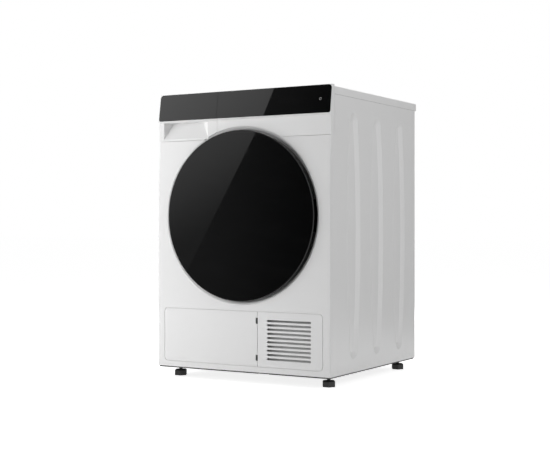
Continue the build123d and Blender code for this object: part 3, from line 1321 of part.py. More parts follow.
COMPRESSOR_Y = behind(COMPRESSOR_DEPTH)


def bent_pipe(y_start, y_turn, z):
    """A pipe from the side of the compressor round one bend to the exchanger housing."""
    with BuildLine() as route:
        FilletPolyline(
            (COMPRESSOR_X, y_start, z), (COMPRESSOR_X, y_turn, z), (HOUSING_RIGHT, y_turn, z),
            radius=PIPE_BEND_R,
        )
    with BuildSketch(Plane((COMPRESSOR_X, y_start, z), z_dir=route.line % 0)) as section:
        Circle(PIPE_R)
    sweep(section.sketch, path=route.line)


with BuildPart() as compressor:
    rod_z(COMPRESSOR_X, COMPRESSOR_Y, COMPRESSOR_LOW, COMPRESSOR_HIGH, COMPRESSOR_R)
    fillet(compressor.edges().filter_by(GeomType.CIRCLE), COMPRESSOR_DOME)
    with BuildSketch(Plane.XY.offset(BASE_FLOOR)):
        with Locations((COMPRESSOR_X, COMPRESSOR_Y)):
            with PolarLocations(COMPRESSOR_R / 2, COMPRESSOR_FEET):
                Circle(COMPRESSOR_FOOT_R)
    extrude(amount=COMPRESSOR_LOW - BASE_FLOOR + COMPRESSOR_DOME / 2)
    shell_front_y = COMPRESSOR_Y - COMPRESSOR_R
    shell_back_y = COMPRESSOR_Y + COMPRESSOR_R
    bent_pipe(shell_front_y + PIPE_R, shell_front_y - PIPE_REACH_FRONT, PIPE_HIGH_Z)
    bent_pipe(shell_back_y - PIPE_R, shell_back_y + PIPE_REACH_BACK, PIPE_LOW_Z)
save(compressor, "compressor")

SHROUD_Y = behind(SHROUD_DEPTH)
SHROUD_BACK_Y = SHROUD_Y + SHROUD_LENGTH
SPOKE_Y = SHROUD_BACK_Y - SPOKE_THICK
FAN_Y = behind(FAN_FRONT)
FAN_BACK_Y = FAN_Y + FAN_WIDTH
with BuildPart() as fan_shroud:
    throat_r = FAN_R + FAN_TIP_GAP
    shroud_top = FAN_Z + SHROUD_HALF
    block(FAN_X - SHROUD_HALF, FAN_X + SHROUD_HALF, SHROUD_Y, SHROUD_Y + BASE_WALL, BASE_FLOOR, shroud_top)
    rod_y(FAN_X, FAN_Z, SHROUD_Y, SHROUD_BACK_Y, throat_r + BASE_WALL)
    rod_y(FAN_X, FAN_Z, SHROUD_Y, SHROUD_BACK_Y, throat_r, mode=Mode.SUBTRACT)
    with BuildSketch(Plane.XZ.offset(-SPOKE_Y)):
        with Locations((FAN_X, FAN_Z)):
            Circle(FAN_HUB_R)
            spoke_length = throat_r + FAN_TIP_GAP
            with PolarLocations(0, SPOKE_COUNT, start_angle=SPOKE_START):
                with Locations((spoke_length / 2, 0)):
                    Rectangle(spoke_length, SPOKE_WIDTH)
    extrude(amount=-SPOKE_THICK)
    rod_y(FAN_X, FAN_Z, FAN_BACK_Y + FIT, SHROUD_BACK_Y, FAN_HUB_R)
    rod_y(FAN_X, FAN_Z, FAN_BACK_Y, SPOKE_Y, FAN_AXLE_R + RUNNING, mode=Mode.SUBTRACT)
save(fan_shroud, "fan_shroud")

with BuildPart() as cooling_fan:
    rod_y(FAN_X, FAN_Z, FAN_Y, FAN_BACK_Y, FAN_HUB_R)
    fillet(cooling_fan.edges().group_by(Axis.Y)[0], FAN_HUB_EDGE_R)
    blade_length = FAN_R - FAN_HUB_R
    with Locations(Plane((FAN_X, FAN_Y + FAN_WIDTH / 2, FAN_Z), x_dir=(1, 0, 0), z_dir=(0, -1, 0))):
        with PolarLocations(FAN_HUB_R + blade_length / 2 - BLADE_ROOT, FAN_BLADES):
            Box(blade_length, BLADE_WIDTH, BLADE_THICK, rotation=(BLADE_TILT, 0, 0))
    rod_y(FAN_X, FAN_Z, FAN_BACK_Y, SPOKE_Y - FIT, FAN_AXLE_R)
save(cooling_fan, "cooling_fan")

PUMP_Y = behind(PUMP_DEPTH)
PORT_Y = PUMP_Y - PORT_FRONT
with BuildPart() as condensate_pump:
    step_z = PUMP_TOP - PUMP_STEP
    block(
        PUMP_X - PUMP_HALF_WIDTH, PUMP_X + PUMP_HALF_WIDTH, PUMP_Y - PUMP_HALF_DEPTH,
        PUMP_Y + PUMP_HALF_DEPTH, BASE_FLOOR, step_z,
    )
    rod_z(PUMP_X, PUMP_Y + PUMP_MOTOR_BACK, step_z, PUMP_TOP + PUMP_MOTOR_RISE, PUMP_MOTOR_R)
    fillet(condensate_pump.edges().filter_by(Axis.Z), PUMP_EDGE_R)
    rod_z(PUMP_X, PORT_Y, step_z, PUMP_TOP, HOSE_R + PORT_WALL)
save(condensate_pump, "condensate_pump")

HOSE_X = TANK_LEFT + HOSE_R
HOSE_TOP = TANK_TOP_Z - HOSE_DROP
HOSE_Y = REAR_INNER_Y - HOSE_REAR_GAP
with BuildPart() as drain_hose:
    with BuildLine() as hose_route:
        FilletPolyline(
            (PUMP_X, PORT_Y, PUMP_TOP),
            (PUMP_X, PORT_Y, PUMP_TOP + HOSE_RISE),
            (HOSE_X, HOSE_Y, PUMP_TOP + HOSE_TURN_RISE),
            (HOSE_X, HOSE_Y, HOSE_TOP),
            (HOSE_X, tray_back + TRAY_WALL, HOSE_TOP),
            radius=HOSE_BEND_R,
        )
    with BuildSketch(Plane((PUMP_X, PORT_Y, PUMP_TOP), z_dir=hose_route.line % 0)):
        Circle(HOSE_R)
    sweep(path=hose_route.line)
save(drain_hose, "drain_hose")


# Service flap, grille with its frame, and the two flap hinges
FLAP_AXIS_Y = behind(FLAP_AXIS_DEPTH)
GRILLE_LEFT = FLAP_EDGE_X + FLAP_GAP


def service_outline(grow):
    """The rounded outline that the flap and the grille share."""
    with Locations((0, SERVICE_Z)):
        RectangleRounded(2 * (SERVICE_HALF_WIDTH + grow), SERVICE_HEIGHT + 2 * grow, SERVICE_R + grow)


with BuildPart() as service_flap:
    with BuildSketch(Plane.XZ.offset(-FRONT_Y)):
        service_outline(-SERVICE_EASE)
        with Locations((FLAP_EDGE_X + SERVICE_HALF_WIDTH, SERVICE_Z)):
            Rectangle(2 * SERVICE_HALF_WIDTH, SERVICE_HEIGHT, mode=Mode.SUBTRACT)
        for hinge_z in FLAP_HINGE_ZS:
            with Locations((FLAP_NOTCH_X + FLAP_EDGE_X, hinge_z)):
                Rectangle(2 * FLAP_EDGE_X, FLAP_HINGE_HEIGHT + 2 * SEAM, mode=Mode.SUBTRACT)
    extrude(amount=-FLAP_THICK)
    rib_y = FRONT_Y + FLAP_THICK
    for hinge_z in FLAP_HINGE_ZS:
        for end in (-1, 1):
            lug_z = hinge_z + end * (FLAP_HINGE_HEIGHT / 2 + SEAM + LUG_LENGTH / 2)
            rod_z(FLAP_AXIS_X, FLAP_AXIS_Y, lug_z - LUG_LENGTH / 2, lug_z + LUG_LENGTH / 2, FLAP_AXIS_DEPTH)
    for hinge_z in FLAP_HINGE_ZS:
        rod_z(
            FLAP_AXIS_X, FLAP_AXIS_Y, hinge_z - FLAP_HINGE_HEIGHT, hinge_z + FLAP_HINGE_HEIGHT,
            FLAP_PIN_R + RUNNING, mode=Mode.SUBTRACT,
        )
    for rib_z in (SERVICE_LOW + 3 * SERVICE_R, SERVICE_Z, SERVICE_HIGH - 3 * SERVICE_R):
        block(
            -SERVICE_HALF_WIDTH + 3 * SERVICE_R, FLAP_NOTCH_X - 3 * SERVICE_R, rib_y, rib_y + FLAP_RIB,
            rib_z - FLAP_RIB_THICK / 2, rib_z + FLAP_RIB_THICK / 2,
        )
save(service_flap, "service_flap")

FLAP_SWEEP_R = math.hypot(FLAP_EDGE_X - FLAP_AXIS_X, FLAP_AXIS_DEPTH) + FIT
FRAME_Y = FRONT_Y + FLAP_THICK + FIT
FRAME_BACK_Y = behind(FRAME_BACK)
with BuildPart() as service_grille:
    with BuildSketch(Plane.XZ.offset(-FRONT_Y)):
        service_outline(-SERVICE_EASE)
        with Locations((GRILLE_LEFT - SERVICE_HALF_WIDTH, SERVICE_Z)):
            Rectangle(2 * SERVICE_HALF_WIDTH, SERVICE_HEIGHT, mode=Mode.SUBTRACT)
        for slot in range(SLOT_COUNT):
            with Locations(((SLOT_LEFT + SLOT_RIGHT) / 2, SLOT_TOP_Z - slot * SLOT_PITCH)):
                SlotOverall(SLOT_RIGHT - SLOT_LEFT, SLOT_HEIGHT, mode=Mode.SUBTRACT)
    extrude(amount=-(FRAME_Y - FRONT_Y))
    block(GRILLE_LEFT, GRILLE_LEFT + MULLION, FRONT_Y, FRAME_BACK_Y, SERVICE_LOW, SERVICE_HIGH)
    with BuildSketch(Plane.XZ.offset(-(FRONT_Y + FRONT_SHEET))):
        service_outline(FRAME_LAP)
        with Locations((0, SERVICE_Z)):
            RectangleRounded(
                2 * (SERVICE_HALF_WIDTH + SEAM), SERVICE_HEIGHT + 2 * SEAM, SERVICE_R + SEAM,
                mode=Mode.SUBTRACT,
            )
    extrude(amount=-(FRAME_BACK - FRONT_SHEET))
    with BuildSketch(Plane.XZ.offset(-FRAME_Y)):
        service_outline(FRAME_LAP)
        with Locations((0, SERVICE_Z)):
            RectangleRounded(
                2 * (SERVICE_HALF_WIDTH - FRAME_LAP), SERVICE_HEIGHT - 2 * FRAME_LAP, SERVICE_R - FRAME_LAP,
                mode=Mode.SUBTRACT,
            )
    extrude(amount=-(FRAME_BACK_Y - FRAME_Y))
    rod_z(FLAP_AXIS_X, FLAP_AXIS_Y, SERVICE_LOW, SERVICE_HIGH, FLAP_SWEEP_R, mode=Mode.SUBTRACT)
save(service_grille, "service_grille")

with BuildPart() as flap_hinges:
    hinge_half = FLAP_AXIS_DEPTH - FIT / 3
    strap_y = FRAME_BACK_Y + HINGE_STRAP
    for hinge_z in FLAP_HINGE_ZS:
        low = hinge_z - FLAP_HINGE_HEIGHT / 2
        high = hinge_z + FLAP_HINGE_HEIGHT / 2
        rod_z(FLAP_AXIS_X, FLAP_AXIS_Y, low, high, hinge_half)
        rod_z(FLAP_AXIS_X, FLAP_AXIS_Y, low - LUG_LENGTH / 2, high + LUG_LENGTH / 2, FLAP_PIN_R)
        block(FLAP_AXIS_X - hinge_half, FLAP_AXIS_X + hinge_half, FLAP_AXIS_Y, strap_y, low, high)
        block(FLAP_AXIS_X - hinge_half, GRILLE_LEFT + MULLION, FRAME_BACK_Y, strap_y, low, high)
save(flap_hinges, "flap_hinges")


# Base tray with its foot bosses, the four feet and their lock nuts
BASE_HALF = SIDE_INNER_X - FIT
BASE_BACK_Y = REAR_INNER_Y - FIT
FOOT_PLACES = {
    f"foot_{end}_{side}": (x, y)
    for end, y in FOOT_YS.items()
    for side, x in (("left", -FOOT_X), ("right", FOOT_X))
}

with BuildPart() as base_tray:
    block(
        -HALF_W + BASE_INSET, HALF_W - BASE_INSET, FRONT_Y + BASE_INSET, BASE_BACK_Y, TRAY_BOTTOM,
        PANEL_BOTTOM - FIT,
    )
    block(-BASE_HALF, BASE_HALF, behind(BASE_FRONT), BASE_BACK_Y, PANEL_BOTTOM - FIT, TRAY_TOP)
    block(
        -BASE_HALF + 2 * BASE_WALL, BASE_HALF - 2 * BASE_WALL, behind(BASE_FRONT) + BASE_WALL,
        BASE_BACK_Y - BASE_WALL, BASE_FLOOR, TRAY_TOP, Mode.SUBTRACT,
    )
    block(
        -SERVICE_HALF_WIDTH + FRAME_LAP, SERVICE_HALF_WIDTH - FRAME_LAP, behind(BASE_FRONT),
        behind(BASE_FRONT) + BASE_WALL, SERVICE_LOW, TRAY_TOP, Mode.SUBTRACT,
    )
    block(
        FLAP_EDGE_X, FLAP_EDGE_X + NOTCH_WIDTH, FRONT_Y + BASE_INSET, behind(BASE_FRONT), TRAY_BOTTOM,
        PANEL_BOTTOM - FIT, Mode.SUBTRACT,
    )
    for foot_x, foot_y in FOOT_PLACES.values():
        rod_z(foot_x, foot_y, TRAY_BOTTOM, BOSS_TOP, BOSS_R)
        rod_z(foot_x, foot_y, TRAY_BOTTOM, BOSS_TOP, STEM_R + RUNNING, mode=Mode.SUBTRACT)
save(base_tray, "base_tray")


def screw_foot(foot_x, foot_y):
    """A hexagonal foot with its stem."""
    with BuildPart() as foot:
        with BuildSketch(Plane.XY):
            with Locations((foot_x, foot_y)):
                RegularPolygon(FOOT_ACROSS / 2, 6)
        extrude(amount=FOOT_HEIGHT)
        chamfer(foot.faces().sort_by(Axis.Z)[0].edges(), FOOT_LOW_CHAMFER)
        chamfer(foot.faces().sort_by(Axis.Z)[-1].edges(), FOOT_TOP_CHAMFER)
        rod_z(foot_x, foot_y, FOOT_HEIGHT, STEM_TOP, STEM_R)
    return foot


for foot_name, foot_place in FOOT_PLACES.items():
    save(screw_foot(*foot_place), foot_name)

with BuildPart() as lock_nuts:
    with BuildSketch(Plane.XY.offset(TRAY_BOTTOM - NUT_HEIGHT)):
        for foot_place in FOOT_PLACES.values():
            with Locations(foot_place):
                RegularPolygon(NUT_ACROSS / 2, 6, major_radius=False)
                Circle(STEM_R + RUNNING, mode=Mode.SUBTRACT)
    extrude(amount=NUT_HEIGHT)
save(lock_nuts, "lock_nuts")
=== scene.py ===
# %% [markdown]
# # A heat-pump clothes dryer
# The machine is a white steel cabinet with a round black glass door, a black glass fascia that leans
# back, a water tank drawer at the upper left, and a service flap beside an air grille at the bottom.
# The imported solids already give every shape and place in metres, so this lesson adds finishes, fine
# detail, light and a camera.

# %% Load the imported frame
import json
import math

import bmesh
import bpy
from mathutils import Matrix, Vector, noise


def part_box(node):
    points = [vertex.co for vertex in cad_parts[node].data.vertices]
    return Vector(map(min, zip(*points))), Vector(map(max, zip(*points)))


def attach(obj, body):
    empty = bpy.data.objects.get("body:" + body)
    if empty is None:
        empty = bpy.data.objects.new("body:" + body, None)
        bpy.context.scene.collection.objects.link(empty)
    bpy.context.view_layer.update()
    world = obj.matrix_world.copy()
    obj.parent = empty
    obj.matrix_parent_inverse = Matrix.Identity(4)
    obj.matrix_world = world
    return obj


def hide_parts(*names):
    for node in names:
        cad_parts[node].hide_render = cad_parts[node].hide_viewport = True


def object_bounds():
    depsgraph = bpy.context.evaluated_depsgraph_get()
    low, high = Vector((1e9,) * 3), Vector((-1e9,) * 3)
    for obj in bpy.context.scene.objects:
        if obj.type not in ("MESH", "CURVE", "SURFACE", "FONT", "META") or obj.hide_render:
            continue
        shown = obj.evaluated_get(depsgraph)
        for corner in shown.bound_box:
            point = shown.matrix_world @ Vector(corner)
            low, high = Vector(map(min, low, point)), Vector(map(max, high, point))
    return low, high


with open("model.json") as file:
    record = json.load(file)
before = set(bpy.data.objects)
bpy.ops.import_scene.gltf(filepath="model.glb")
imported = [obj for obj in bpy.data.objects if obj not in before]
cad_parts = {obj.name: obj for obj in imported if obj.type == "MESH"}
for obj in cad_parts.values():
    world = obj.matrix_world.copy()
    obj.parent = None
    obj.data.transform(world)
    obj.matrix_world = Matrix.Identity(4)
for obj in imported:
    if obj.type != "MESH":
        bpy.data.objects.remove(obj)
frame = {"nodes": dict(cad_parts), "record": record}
cad_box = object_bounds()

# %% [markdown]
# ## Sockets that can be added
# A finish is mostly sums of patterns: a little noise here, a mask there. Adding each Math node by
# hand hides the sum, so a small class wraps a socket and lets Python's own operators add the nodes.
# One method makes every node, for the finishes and for the Geometry Nodes trees alike.

# %% Sums of sockets
def operator_pair(operation):
    """A Python operator that adds a Math node, and its reflected form, for a value on the left."""

    def direct(wire, other):
        return wire.graph.maths(operation, wire, other)

    def reflected(wire, other):
        return wire.graph.maths(operation, other, wire)

    return direct, reflected


class Wire:
    """A socket in a sum: each operator adds one Math node to its tree."""

    def __init__(self, graph, socket):
        self.graph = graph
        self.socket = socket

    def math(self, operation, second=0.0):
        """A Math node on this value, and on a second one where the operation takes two."""
        return self.graph.maths(operation, self, second)

    def __abs__(self):
        return self.math("ABSOLUTE")

    def __neg__(self):
        return self * -1

    __add__, __radd__ = operator_pair("ADD")
    __sub__, __rsub__ = operator_pair("SUBTRACT")
    __mul__, __rmul__ = operator_pair("MULTIPLY")
    __truediv__, __rtruediv__ = operator_pair("DIVIDE")
    __mod__, __rmod__ = operator_pair("FLOORED_MODULO")
    __gt__, __lt__ = operator_pair("GREATER_THAN")


# %% One method for every node
class Graph:
    """A node tree, with one method that makes any node in it."""

    def __init__(self, tree):
        self.tree = tree

    def node(self, kind, settings=None, sockets=None, out=0):
        """Makes a node, its settings first and then its sockets, and gives one output if it has any."""
        made = self.tree.nodes.new(kind)
        for name, value in (settings or {}).items():
            setattr(made, name, value)
        for name, value in (sockets or {}).items():
            self.plug(made.inputs[name], value)
        return Wire(self, made.outputs[out]) if made.outputs else None

    def maths(self, operation, first, second):
        """A Math node on two values."""
        return self.node("ShaderNodeMath", {"operation": operation}, {0: first, 1: second})

    def plug(self, socket, value):
        """Links a wire, or a list of wires, to a socket, or sets a plain value on it."""
        if isinstance(value, list):
            for wire in value:
                self.plug(socket, wire)
        elif isinstance(value, Wire):
            self.tree.links.new(value.socket, socket)
        else:
            socket.default_value = value


# %% [markdown]
# ## What every finish shares
# Each material reads Object coordinates. Every piece sits at the origin, so these are metres in the
# machine's own frame, and a noise of scale 400 has grains of about 2.5 mm on every panel. Roughness
# and bump come from the same patterns as the colour, because a real film of paint or a moulded skin
# changes in all three together.

# %% Patterns over a surface
# A Mix node has several sockets of each name, so those for colours go by number.
MIX_MASK = 0
MIX_FIRST = 6
MIX_SECOND = 7
MIX_COLOUR = 2


class Surface(Graph):
    """The patterns that a finish is made from, all on Object coordinates."""

    def __init__(self, tree):
        super().__init__(tree)
        self.place = self.node("ShaderNodeTexCoord", out="Object")

    def along(self, axis):
        """One coordinate of the place, in metres."""
        return self.node("ShaderNodeSeparateXYZ", {}, {"Vector": self.place}, out=axis)

    def from_axis(self, height):
        """The distance from the line along Y at a height, in the machine's middle."""
        across = self.along("X")
        up = self.along("Z") - height
        return (across * across + up * up).math("SQRT")

    def clouds(self, scale=1.0, detail=2.0, place=None):
        """Smooth noise between 0 and 1."""
        spot = place or self.place
        return self.node("ShaderNodeTexNoise", {}, {"Vector": spot, "Scale": scale, "Detail": detail})

    def streaks(self, scales, detail):
        """Noise that is drawn out or packed together, with one scale for each axis."""
        packed = self.node("ShaderNodeMapping", {}, {"Vector": self.place, "Scale": scales})
        return self.clouds(detail=detail, place=packed)

    def cells(self, scale, out="Distance"):
        """A cell pattern: the distance to a cell's middle, or one random colour for each cell."""
        return self.node("ShaderNodeTexVoronoi", {}, {"Vector": self.place, "Scale": scale}, out=out)

    def ramp(self, value, low, high):
        """0 at low, 1 at high, smooth between and level beyond; low may be the greater."""
        return self.node(
            "ShaderNodeMapRange",
            {"interpolation_type": "SMOOTHSTEP"},
            {"Value": value, "From Min": low, "From Max": high},
        )

    def mix(self, mask, first, second):
        """The first colour where the mask is 0, the second where it is 1."""
        given = {MIX_MASK: mask, MIX_FIRST: first, MIX_SECOND: second}
        return self.node("ShaderNodeMix", {"data_type": "RGBA"}, given, out=MIX_COLOUR)


# %% A finish and its shader
def grey(level, warm=0.0):
    """A near-neutral colour: warm above zero leans to yellow, below zero to blue."""
    return (level * (1 + warm), level, level * (1 - warm), 1.0)


class Finish(Surface):
    """One procedural material on a Principled shader, whose constants are set on its own sockets."""

    made = {}

    def __init__(self, name, **constants):
        self.material = bpy.data.materials.new(name)
        self.material.use_nodes = True
        super().__init__(self.material.node_tree)
        self.shader = self.tree.nodes["Principled BSDF"]
        for socket, value in constants.items():
            self.plug(self.shader.inputs[socket.replace("_", " ")], value)
        Finish.made[name] = self.material
        print("finish", name)

    def dress(self, colour, rough, bump=None, depth=0.0):
        """Plugs the patterns into the shader; depth is the height of the bump in metres."""
        self.plug(self.shader.inputs["Base Color"], colour)
        self.plug(self.shader.inputs["Roughness"], rough)
        if bump:
            relief = {"Height": bump, "Distance": depth, "Strength": 1.0}
            self.plug(self.shader.inputs["Normal"], self.node("ShaderNodeBump", {}, relief))

    def ended_in(self, shader):
        """The material with another shader, or a mix of shaders, as its surface."""
        self.plug(self.tree.nodes["Material Output"].inputs["Surface"], shader)
        return self.material


# %% [markdown]
# ## White paint and white mouldings
# The cabinet is sheet steel with stoved white enamel: a flat film with a faint orange peel. The
# control panel, the drawer front, the worktop, the flap and the grille are mouldings in the same
# white, with a finer eroded skin. A single flat colour would look like paper, so tone, gloss and
# relief all vary a little. One function makes both whites, because only the grain and the gloss
# differ. Near the floor a little dust dulls them.

# %% The two whites
DUST_TOP_Z = 0.09
DUST_FOOT_Z = 0.02
DUST_COVER = 0.10
DUST_TONE = grey(0.52, warm=0.04)
WHITE_SHADE = 0.985


def white_skin(name, level, grain, depth, gloss):
    """A white film: slow drift of tone, a fine grain, and dust that fades out above the floor."""
    finish = Finish(name, IOR=1.5)
    drift = finish.clouds(scale=4.0, detail=3.0)
    peel = finish.clouds(scale=grain)
    speck = finish.clouds(scale=70.0, detail=4.0)
    near_floor = finish.ramp(finish.along("Z"), low=DUST_TOP_Z, high=DUST_FOOT_Z)
    dust = near_floor * finish.ramp(speck, low=0.42, high=0.75)
    clean = finish.mix(drift, grey(level * WHITE_SHADE, warm=0.002), grey(level, warm=-0.001))
    tone = finish.mix(dust * DUST_COVER, clean, DUST_TONE)
    finish.dress(tone, gloss + 0.07 * drift + 0.05 * peel + 0.2 * dust, bump=peel, depth=depth)


white_skin("white_enamel", level=0.85, grain=330.0, depth=0.00003, gloss=0.24)
white_skin("white_plastic", level=0.85, grain=1500.0, depth=0.000018, gloss=0.32)

# %% [markdown]
# ## Black glass and polished black
# The door and the fascia are tinted glass, printed black behind, so almost all that one sees is
# reflection. A plain black would do for one view; this finish keeps the base nearly black and puts
# its care into the gloss: a faint film of wiping marks, drawn out sideways, changes the roughness by
# a few hundredths. The door's glass is ground along its edge, so there it is matt. The rim of the
# door is glossy plastic, a shade softer.

# %% The polished blacks
GLASS_LOW, GLASS_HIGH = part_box("door_glass")
AXIS_Z = (GLASS_LOW.z + GLASS_HIGH.z) / 2
GROUND_EDGE = 0.0018
GROUND_ROUGH = 0.6
WIPING_MARKS = (9.0, 9.0, 34.0)
FILM_LIFT = 1.5


def polished_black(name, level, gloss, smear, refraction, ground_from=None):
    """A polished black surface with wiping marks in its roughness, and a matt edge beyond a radius."""
    finish = Finish(name, IOR=refraction)
    film = finish.ramp(finish.streaks(WIPING_MARKS, detail=4.0), low=0.45, high=0.8)
    tone = finish.mix(film, grey(level, warm=-0.06), grey(level * FILM_LIFT, warm=-0.04))
    rough = gloss + smear * film
    if ground_from:
        rough = rough + GROUND_ROUGH * (finish.from_axis(AXIS_Z) > ground_from)
    finish.dress(tone, rough)


GLASS = {"level": 0.0022, "gloss": 0.012, "smear": 0.035, "refraction": 1.56}
polished_black("black_glass", **GLASS)
polished_black("ground_glass", **GLASS, ground_from=GLASS_HIGH.x - GROUND_EDGE)
polished_black("black_gloss", level=0.006, gloss=0.10, smear=0.08, refraction=1.5)
print("ground edge from radius", round(GLASS_HIGH.x - GROUND_EDGE, 4))

# %% [markdown]
# ## Moulded plastics
# Feet, base, ducts, tank and louvres are injection mouldings. The tool's eroded skin leaves a fine
# cell pattern, and the melt leaves faint flow marks. Each could be a material of its own, but they
# differ only in tone, grain and gloss, so one function makes each plastic from one line.

# %% The plastics
FLOW_MARKS = (8.0, 8.0, 22.0)
FLOW_DARK = 0.88
FLOW_PALE = 1.08


def moulded_plastic(name, level, grain, depth, gloss, warm=0.0):
    """Injection-moulded plastic: an eroded grain, and flow marks in the tone."""
    finish = Finish(name, IOR=1.49)
    flow = finish.streaks(FLOW_MARKS, detail=3.0)
    skin = finish.cells(grain)
    body = finish.mix(flow, grey(level * FLOW_DARK, warm), grey(level * FLOW_PALE, warm))
    finish.dress(body, gloss + 0.12 * flow + 0.10 * skin, bump=skin, depth=depth)


moulded_plastic("dark_plastic", level=0.018, grain=900.0, depth=0.00005, gloss=0.42)
moulded_plastic("base_plastic", level=0.05, grain=900.0, depth=0.00005, gloss=0.45)
moulded_plastic("grey_plastic", level=0.34, grain=1100.0, depth=0.00003, gloss=0.40, warm=-0.01)
moulded_plastic("louvre_plastic", level=0.58, grain=1100.0, depth=0.00003, gloss=0.45)
moulded_plastic("smoke_plastic", level=0.085, grain=260.0, depth=0.000004, gloss=0.10, warm=-0.04)
moulded_plastic("tank_plastic", level=0.62, grain=420.0, depth=0.00004, gloss=0.33, warm=-0.05)

# %% [markdown]
# ## Bare metals
# The drum is rolled stainless steel, and its polish runs round the axis; its back is spun, so there
# the polish runs in rings. An anisotropic shader could draw the polish too, but fine lines in
# roughness and bump also survive the export. The rear panel, screws and shafts are zinc plated, and
# zinc freezes in flat crystals that each reflect a little differently: a random tone for each cell of
# a cell pattern gives that spangle.

# %% Steel
ROLLED_LINES = (5.0, 1100.0, 5.0)
SPUN_LINES = 900.0
STEEL_DARK = grey(0.50, warm=-0.008)
STEEL_PALE = grey(0.64, warm=-0.012)


def polished_steel(name, in_rings):
    """Stainless steel with fine polishing lines, round the drum or in rings on its back."""
    finish = Finish(name, Metallic=1.0)
    if in_rings:
        track = finish.node("ShaderNodeCombineXYZ", {}, {"X": finish.from_axis(AXIS_Z) * SPUN_LINES})
        lines = finish.clouds(detail=3.0, place=track)
    else:
        lines = finish.streaks(ROLLED_LINES, detail=3.0)
    haze = finish.clouds(scale=7.0, detail=3.0)
    tone = finish.mix(lines, STEEL_DARK, STEEL_PALE)
    finish.dress(tone, 0.20 + 0.14 * lines + 0.08 * haze, bump=lines, depth=0.000012)


polished_steel("drum_steel", in_rings=False)
polished_steel("spun_steel", in_rings=True)

# %% Zinc and castings
SCRATCHES = (14.0, 14.0, 600.0)
CRYSTAL_DARK = grey(0.47, warm=-0.02)
CRYSTAL_PALE = grey(0.56, warm=-0.015)
BLOOM_TONE = grey(0.42)
BLOOM_COVER = 0.5
STAIN_DARK = 0.75
STAIN_PALE = 1.1


def zinc_plate():
    """Zinc with its spangle, a dull bloom and fine scratches."""
    finish = Finish("bare_steel", Metallic=1.0)
    spangle = finish.cells(scale=95.0, out="Color")
    crystal = finish.node("ShaderNodeSeparateColor", {}, {"Color": spangle})
    bloom = finish.clouds(scale=18.0, detail=4.0)
    scratch = finish.ramp(finish.streaks(SCRATCHES, detail=2.0), low=0.60, high=0.72)
    plate = finish.mix(crystal, CRYSTAL_DARK, CRYSTAL_PALE)
    tone = finish.mix(bloom * BLOOM_COVER, plate, BLOOM_TONE)
    rough = 0.30 + 0.16 * crystal + 0.12 * bloom - 0.10 * scratch
    finish.dress(tone, rough, bump=crystal, depth=0.00001)


def cast_skin(name, level, warm, metal, grain, depth):
    """A sand-blasted casting, or a painted iron shell where it isn't metallic."""
    finish = Finish(name, Metallic=metal)
    pits = finish.cells(grain)
    stain = finish.clouds(scale=24.0, detail=4.0)
    tone = finish.mix(stain, grey(level * STAIN_DARK, warm), grey(level * STAIN_PALE, warm))
    finish.dress(tone, 0.38 + 0.16 * stain + 0.08 * pits, bump=pits, depth=depth)


zinc_plate()
cast_skin("cast_metal", level=0.52, warm=0.0, metal=1.0, grain=800.0, depth=0.00006)
cast_skin("iron", level=0.022, warm=0.02, metal=0.0, grain=420.0, depth=0.00004)

# %% [markdown]
# ## Rubber and felt
# Rubber is matt with a bloom of talc, and the belt's ribs run round the drum, so they are a wave
# along Y. Felt is pressed fibre. Hair particles would be far too heavy for it, so long noise in two
# directions gives the fibres, and a constant sheen the soft edge.

# %% Rubber
RIB_DEPTH = 0.0004
RUBBER_GRAIN_DEPTH = 0.00006
TALC_COVER = 0.6
TALC_LIFT = 2.2
TALC_FLOOR = 0.01


def rubber_skin(name, level, ribs=None):
    """Matt rubber with talc bloom, and ribs along Y where it is a belt."""
    finish = Finish(name, IOR=1.45)
    talc = finish.ramp(finish.clouds(scale=160.0, detail=5.0), low=0.45, high=0.85)
    tone = finish.mix(talc * TALC_COVER, grey(level), grey(level * TALC_LIFT + TALC_FLOOR, warm=0.01))
    rough = 0.62 + 0.2 * talc
    if ribs:
        wave = (finish.along("Y") * ribs).math("PINGPONG", 1.0)
        finish.dress(tone, rough, bump=wave, depth=RIB_DEPTH)
    else:
        finish.dress(tone, rough, bump=finish.clouds(scale=700.0), depth=RUBBER_GRAIN_DEPTH)


rubber_skin("grey_rubber", level=0.10)
rubber_skin("belt_rubber", level=0.014, ribs=700.0)

# %% Felt
FIBRES_ALONG_X = (900.0, 260.0, 260.0)
FIBRES_ACROSS = (260.0, 900.0, 900.0)
FELT_DARK = grey(0.20, warm=0.05)
FELT_PALE = grey(0.52, warm=0.04)
PILL_TONE = grey(0.58, warm=0.03)
PILL_COVER = 0.4


def pressed_felt():
    """Grey felt: fibres that lie in two directions, pilled here and there."""
    finish = Finish("felt", Sheen_Weight=0.4, Sheen_Roughness=0.5)
    fibre = finish.streaks(FIBRES_ALONG_X, detail=4.0)
    cross = finish.streaks(FIBRES_ACROSS, detail=4.0)
    pill = finish.ramp(finish.clouds(scale=60.0, detail=3.0), low=0.5, high=0.8)
    woven = fibre * 0.5 + cross * 0.5
    tone = finish.mix(pill * PILL_COVER, finish.mix(woven, FELT_DARK, FELT_PALE), PILL_TONE)
    finish.dress(tone, 0.88 + 0.1 * woven, bump=woven, depth=0.0006)


pressed_felt()

# %% [markdown]
# ## Fins and the circuit board
# The exchangers' fins are bright aluminium with a water mark here and there. The control board has a
# green lacquer over copper tracks. Tracks could be drawn one by one, but a brick pattern in thin
# lines reads as tracks at this size.

# %% Fins
FIN_GRAIN = (300.0, 40.0, 900.0)
FIN_BRIGHT = grey(0.68, warm=-0.01)
WATER_MARK = grey(0.5)
MARK_COVER = 0.5


